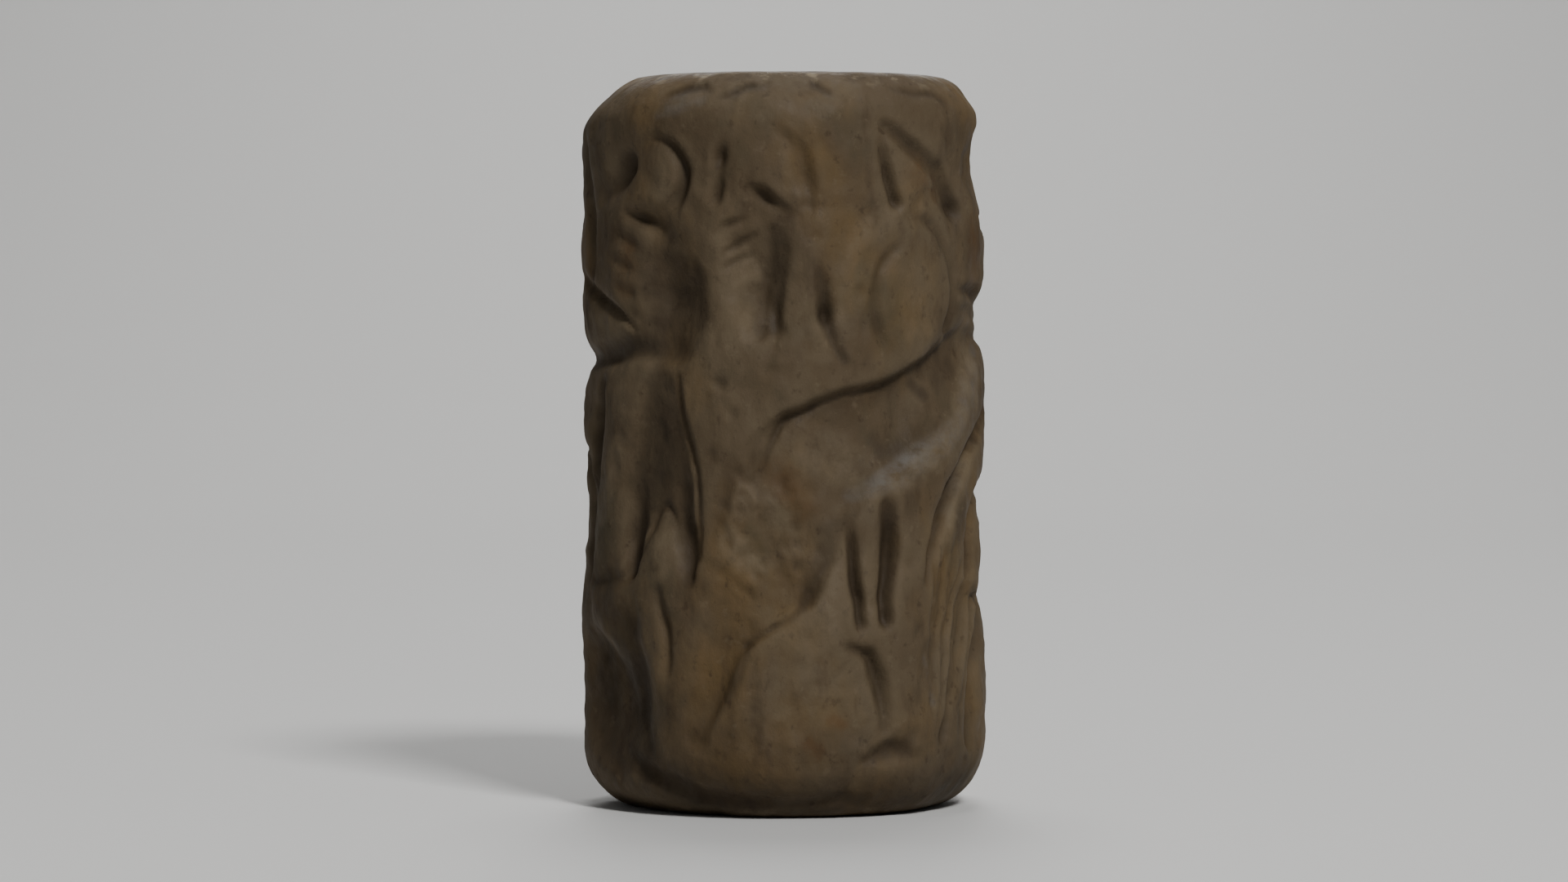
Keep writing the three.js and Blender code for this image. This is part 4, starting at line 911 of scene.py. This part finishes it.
class Shader:
    """Helper that builds one material's nodes and keeps them short to write."""

    def __init__(self, name: str) -> None:
        """Start an empty material.

        Args:
            name: The material's name.
        """
        self.material = bpy.data.materials.new(name)
        self.material.use_nodes = True
        self.tree = self.material.node_tree
        self.principled = self.tree.nodes["Principled BSDF"]
        self.place = self.tree.nodes.new("ShaderNodeTexCoord").outputs["Object"]

    def link(self, source: bpy.types.NodeSocket, target: bpy.types.NodeSocket) -> None:
        """Join two sockets."""
        self.tree.links.new(source, target)

    def noise(
        self, scale: float, detail: float, stretch: tuple[float, float, float], shift: float = 0.0
    ) -> bpy.types.NodeSocket:
        """Add a noise pattern.

        Args:
            scale: Lumps per metre.
            detail: Finer layers.
            stretch: Scale along each axis.
            shift: Metres that the pattern is moved, so that two patterns differ.

        Returns:
            Its value.
        """
        mapping = self.tree.nodes.new("ShaderNodeMapping")
        mapping.inputs["Location"].default_value = (shift, shift * 0.7, shift * 1.3)
        mapping.inputs["Scale"].default_value = stretch
        self.link(self.place, mapping.inputs["Vector"])
        node = self.tree.nodes.new("ShaderNodeTexNoise")
        node.inputs["Scale"].default_value = scale
        node.inputs["Detail"].default_value = detail
        node.inputs["Roughness"].default_value = 0.6
        self.link(mapping.outputs["Vector"], node.inputs["Vector"])
        return node.outputs["Fac"]

    def bump(
        self,
        value: bpy.types.NodeSocket,
        strength: float,
        distance: float,
        under: bpy.types.NodeSocket | None = None,
    ) -> bpy.types.NodeSocket:
        """Turn a pattern into a fine relief.

        Args:
            value: The pattern.
            strength: How strongly it shows.
            distance: Its height in metres.
            under: A coarser relief that it lies on.

        Returns:
            The bent normal.
        """
        node = self.tree.nodes.new("ShaderNodeBump")
        node.inputs["Strength"].default_value = strength
        node.inputs["Distance"].default_value = distance
        self.link(value, node.inputs["Height"])
        if under is not None:
            self.link(under, node.inputs["Normal"])
        return node.outputs["Normal"]

    def attribute(self, name: str) -> bpy.types.NodeSocket:
        """Read one of the mesh's own values."""
        node = self.tree.nodes.new("ShaderNodeAttribute")
        node.attribute_name = name
        return node.outputs["Fac"]

    def range(
        self, value: bpy.types.NodeSocket, low: float, high: float, to_low: float = 0.0, to_high: float = 1.0
    ) -> bpy.types.NodeSocket:
        """Map a value from one range to another.

        Args:
            value: The value to map.
            low: Where it starts.
            high: Where it ends.
            to_low: Result at the start.
            to_high: Result at the end.

        Returns:
            The mapped value.
        """
        node = self.tree.nodes.new("ShaderNodeMapRange")
        node.inputs["From Min"].default_value = low
        node.inputs["From Max"].default_value = high
        node.inputs["To Min"].default_value = to_low
        node.inputs["To Max"].default_value = to_high
        self.link(value, node.inputs["Value"])
        return node.outputs["Result"]

    def mix(
        self, share: bpy.types.NodeSocket, first: object, second: object, blend: str = "MIX"
    ) -> bpy.types.NodeSocket:
        """Mix two colours.

        Args:
            share: How much of the second shows.
            first: A socket or a colour.
            second: A socket or a colour.
            blend: How they are mixed.

        Returns:
            The mixed colour.
        """
        node = self.tree.nodes.new("ShaderNodeMix")
        node.data_type = "RGBA"
        node.blend_type = blend
        self.link(share, node.inputs[0])
        for value, slot in ((first, node.inputs[6]), (second, node.inputs[7])):
            if isinstance(value, bpy.types.NodeSocket):
                self.link(value, slot)
            else:
                slot.default_value = (*value, 1.0)
        return node.outputs[2]

    def times(self, first: bpy.types.NodeSocket, second: bpy.types.NodeSocket) -> bpy.types.NodeSocket:
        """Multiply two values."""
        node = self.tree.nodes.new("ShaderNodeMath")
        node.operation = "MULTIPLY"
        self.link(first, node.inputs[0])
        self.link(second, node.inputs[1])
        return node.outputs[0]


@dataclass(frozen=True)
class StoneFinish:
    """Worn, softly polished dark brown stone; colours are linear."""

    ground: tuple[float, float, float] = (0.0583, 0.0393, 0.0205)
    pale: tuple[float, float, float] = (0.0814, 0.0595, 0.0343)
    ochre: tuple[float, float, float] = (0.1034, 0.0654, 0.0264)
    olive: tuple[float, float, float] = (0.044, 0.0357, 0.0198)
    # pale rubbed stone, also the colour of the painted highlights
    rubbed_and_highlight: tuple[float, float, float] = (0.121, 0.0916, 0.0554)
    dark: tuple[float, float, float] = (0.026, 0.015, 0.007)
    # dark brown of the painted shade in the cuts and creases
    hollow_shade: tuple[float, float, float] = (0.019, 0.0112, 0.0046)
    # purple-brown of the painted shade and dark patina
    shade_purple: tuple[float, float, float] = (0.021, 0.0138, 0.0075)
    orange: tuple[float, float, float] = (0.072, 0.038, 0.014)
    # blue-grey of the bloom, partly a painted highlight
    blue_grey: tuple[float, float, float] = (0.090, 0.080, 0.068)
    chalk: tuple[float, float, float] = (0.19, 0.15, 0.095)
    roughness: float = 0.7
    specular: float = 0.2

    def material(self) -> bpy.types.Material:
        """Build the stone's nodes.

        Returns:
            The material.
        """
        shader = Shader("seal_stone")
        colour = self.mottled(shader)
        colour = self.stained(shader, colour)
        colour = self.soiled_and_shaded(shader, colour)
        shader.link(colour, shader.principled.inputs["Base Color"])
        shader.link(self.relief(shader), shader.principled.inputs["Normal"])
        patches = shader.range(shader.noise(900, 3, (1, 1, 0.7)), 0.4, 0.65)
        rough = shader.range(patches, 0, 1, self.roughness - 0.06, self.roughness + 0.16)
        shader.link(rough, shader.principled.inputs["Roughness"])
        shader.principled.inputs["Specular IOR Level"].default_value = self.specular
        return shader.material

    def mottled(self, shader: Shader) -> bpy.types.NodeSocket:
        """Mix the stone's own tones.

        Args:
            shader: The material that is being built.

        Returns:
            The mixed colour.
        """
        clouds = shader.range(shader.noise(170, 3, (1, 1, 0.8)), 0.36, 0.64)
        colour = shader.mix(clouds, self.ground, self.pale)
        warm = shader.range(shader.noise(230, 4, (1.2, 1, 0.7), 3.1), 0.5, 0.68, 0.0, 0.75)
        colour = shader.mix(warm, colour, self.ochre)
        cold = shader.range(shader.noise(300, 4, (1, 1.2, 0.6), 7.7), 0.54, 0.72, 0.0, 0.8)
        colour = shader.mix(cold, colour, self.olive)
        streaks = shader.range(shader.noise(900, 4, (1, 1, 0.35), 1.9), 0.54, 0.72, 0.0, 0.6)
        colour = shader.mix(streaks, colour, self.dark)
        flecks = shader.range(shader.noise(3300, 3, (1, 1, 0.8), 5.3), 0.6, 0.72, 0.0, 0.5)
        colour = shader.mix(flecks, colour, self.dark)
        crumbs = shader.range(shader.noise(2600, 3, (1, 1, 1), 9.1), 0.62, 0.74, 0.0, 0.35)
        return shader.mix(crumbs, colour, self.rubbed_and_highlight)

    def stained(self, shader: Shader, colour: bpy.types.NodeSocket) -> bpy.types.NodeSocket:
        """Lay the rust, the blue-grey bloom that is partly a painted highlight, and the rubbed patches that
        are partly painted highlight over the stone's tones.

        Args:
            shader: The material that is being built.
            colour: The tones so far.

        Returns:
            The colour with its stains.
        """
        ragged = shader.range(shader.noise(1100, 4, (1, 1, 1), 4.4), 0.36, 0.6)
        rust = shader.times(shader.attribute("rust"), ragged)
        colour = shader.mix(rust, colour, self.orange)
        # blue-grey bloom, partly a painted highlight along the goat's belly
        streaky = shader.range(shader.noise(1300, 4, (1, 1, 1.6), 6.1), 0.34, 0.56)
        bloom = shader.times(shader.attribute("bloom"), streaky)
        colour = shader.mix(bloom, colour, self.blue_grey)
        # rubbed patches, partly a painted highlight on slopes that face the light
        worn = shader.range(shader.noise(1600, 4, (1, 1, 1), 3.3), 0.34, 0.6, 0.1, 0.65)
        return shader.mix(shader.times(shader.attribute("polish"), worn), colour, self.rubbed_and_highlight)

    def soiled_and_shaded(self, shader: Shader, colour: bpy.types.NodeSocket) -> bpy.types.NodeSocket:
        """Paint shade and dark patina into the hollows and creases, paint highlight onto the crests that
        hands have rubbed, and speckle the rims with chalk.

        Args:
            shader: The material that is being built.
            colour: The stained stone.

        Returns:
            The finished colour.
        """
        # painted shade: the deeper the carving, the darker the colour
        deep = shader.range(shader.attribute("carving"), 0.3, 1.0, 0.0, 0.15)
        colour = shader.mix(deep, colour, self.hollow_shade)
        # painted shade with dark patina, laid by the shade tint in the hollows and on slopes turned from the
        # light
        patchy = shader.range(shader.noise(1500, 4, (1, 1, 0.7), 7.4), 0.3, 0.6, 0.35, 0.75)
        shade = shader.times(shader.attribute("shade"), patchy)
        colour = shader.mix(shade, colour, self.shade_purple)
        # painted shade: the creases and hollows of the cavity map are darkened, standing in for occlusion
        soil_and_shade = shader.range(shader.attribute("cavity"), 0.012, 0.17, 0.0, 0.52)
        colour = shader.mix(soil_and_shade, colour, self.hollow_shade)
        # painted highlight: the crests of the cavity map are lightened, partly standing for rubbed wear
        rubbed_and_highlight = shader.range(shader.attribute("cavity"), -0.01, -0.12, 0.0, 0.5)
        colour = shader.mix(rubbed_and_highlight, colour, self.rubbed_and_highlight)
        speckle = shader.range(shader.noise(1500, 4, (1, 1, 1), 2.2), 0.53, 0.66)
        return shader.mix(shader.times(shader.attribute("chalk"), speckle), colour, self.chalk)

    def relief(self, shader: Shader) -> bpy.types.NodeSocket:
        """Give the surface its fine grain.

        Args:
            shader: The material that is being built.

        Returns:
            The bent normal.
        """
        coarse = shader.bump(shader.noise(1700, 4, (1, 1, 0.7), 6.6), 0.5, 0.00009)
        return shader.bump(shader.noise(5200, 4, (1, 1, 0.8), 8.2), 0.4, 0.00004, coarse)


@dataclass
class Studio:
    """Pale floor and backdrop, soft lights, and the camera."""

    view_height: float = 27.0
    lens: float = 120.0
    sensor: float = 36.0
    lift: float = 1.5
    middle: float = 11.1
    floor_tint: tuple[float, float, float] = (0.56, 0.555, 0.54)
    floor_half: float = 1.2
    floor_front: float = -0.9
    floor_back: float = 0.24
    backdrop_bend: float = 0.16
    backdrop_top: float = 1.2
    backdrop_steps: int = 24
    lights: tuple[tuple[str, tuple[float, float, float], float, float], ...] = (
        ("key", (0.125, -0.265, 0.28), 0.08, 1.55),
        ("fill", (-0.26, -0.30, 0.10), 0.20, 0.03),
        ("rim", (0.0, 0.12, 0.30), 0.12, 0.35),
        ("back", (0.0, 0.40, 0.14), 0.12, 0.8),
    )
    sky: tuple[float, float, float, float] = (0.9, 0.92, 0.95, 1.0)
    sky_strength: float = 0.15

    def floor(self) -> None:
        """Make one sheet of floor that curves up into a backdrop behind the seal."""
        start = self.floor_back
        rise = self.backdrop_bend
        profile = [(self.floor_front, 0.0), (start, 0.0)]
        for i in range(1, self.backdrop_steps + 1):
            bend = i * pi / 2 / self.backdrop_steps
            profile.append((start + rise * sin(bend), rise * (1 - cos(bend))))
        profile += [(start + rise, self.backdrop_top)]
        points = [(side * self.floor_half, y, z) for y, z in profile for side in (-1, 1)]
        faces = [(2 * i, 2 * i + 1, 2 * i + 3, 2 * i + 2) for i in range(len(profile) - 1)]
        mesh = bpy.data.meshes.new("studio_floor")
        mesh.from_pydata(points, [], faces)
        mesh.polygons.foreach_set("use_smooth", [True] * len(faces))
        sheet = bpy.data.objects.new("studio_floor", mesh)
        bpy.context.scene.collection.objects.link(sheet)
        shader = Shader("pale_floor")
        shader.principled.inputs["Base Color"].default_value = (*self.floor_tint, 1.0)
        shader.principled.inputs["Roughness"].default_value = 0.8
        mesh.materials.append(shader.material)

    def light(self, name: str, place: tuple[float, float, float], size: float, power: float) -> None:
        """Hang one square soft light that faces the seal.

        Args:
            name: The light's name.
            place: Its place in metres.
            size: Its side in metres.
            power: Its power in watts.
        """
        lamp = bpy.data.lights.new(name, "AREA")
        lamp.size = size
        lamp.energy = power
        light = bpy.data.objects.new(name, lamp)
        light.location = place
        aim = Vector((0, 0, 0.011)) - Vector(place)
        light.rotation_euler = aim.to_track_quat("-Z", "Y").to_euler()
        bpy.context.scene.collection.objects.link(light)

    def camera(self) -> None:
        """Set up the camera straight in front, a little above the seal's middle."""
        data = bpy.data.cameras.new("camera")
        data.lens = self.lens
        data.sensor_width = self.sensor
        data.clip_start = 0.01
        width = self.view_height * 16 / 9 * MM
        distance = width / (self.sensor / self.lens)
        camera = bpy.data.objects.new("camera", data)
        tilt = radians(self.lift)
        target = Vector((0, 0, self.middle * MM))
        camera.location = target + Vector((0, -distance * cos(tilt), distance * sin(tilt)))
        camera.rotation_euler = (target - camera.location).to_track_quat("-Z", "Y").to_euler()
        bpy.context.scene.collection.objects.link(camera)
        bpy.context.scene.camera = camera

    def build(self) -> None:
        """Set up the floor, the lights, the soft surroundings and the camera."""
        self.camera()
        self.floor()
        for name, place, size, power in self.lights:
            self.light(name, place, size, power)
        world = bpy.data.worlds.new("studio")
        world.use_nodes = True
        world.node_tree.nodes["Background"].inputs["Color"].default_value = self.sky
        world.node_tree.nodes["Background"].inputs["Strength"].default_value = self.sky_strength
        bpy.context.scene.world = world


def main() -> None:
    """Build the studio and the seal, and report each piece."""
    logging.basicConfig(level=logging.INFO, format="%(message)s")
    Studio().build()
    LOG.info("studio: floor, lights and camera")
    body = StoneBody()
    seal = body.build()
    seal.data.materials.append(StoneFinish().material())
    LOG.info("%s: %d faces, %d cuts", seal.name, len(seal.data.polygons), len(body.frieze.cuts))


if __name__ == "__main__":
    main()
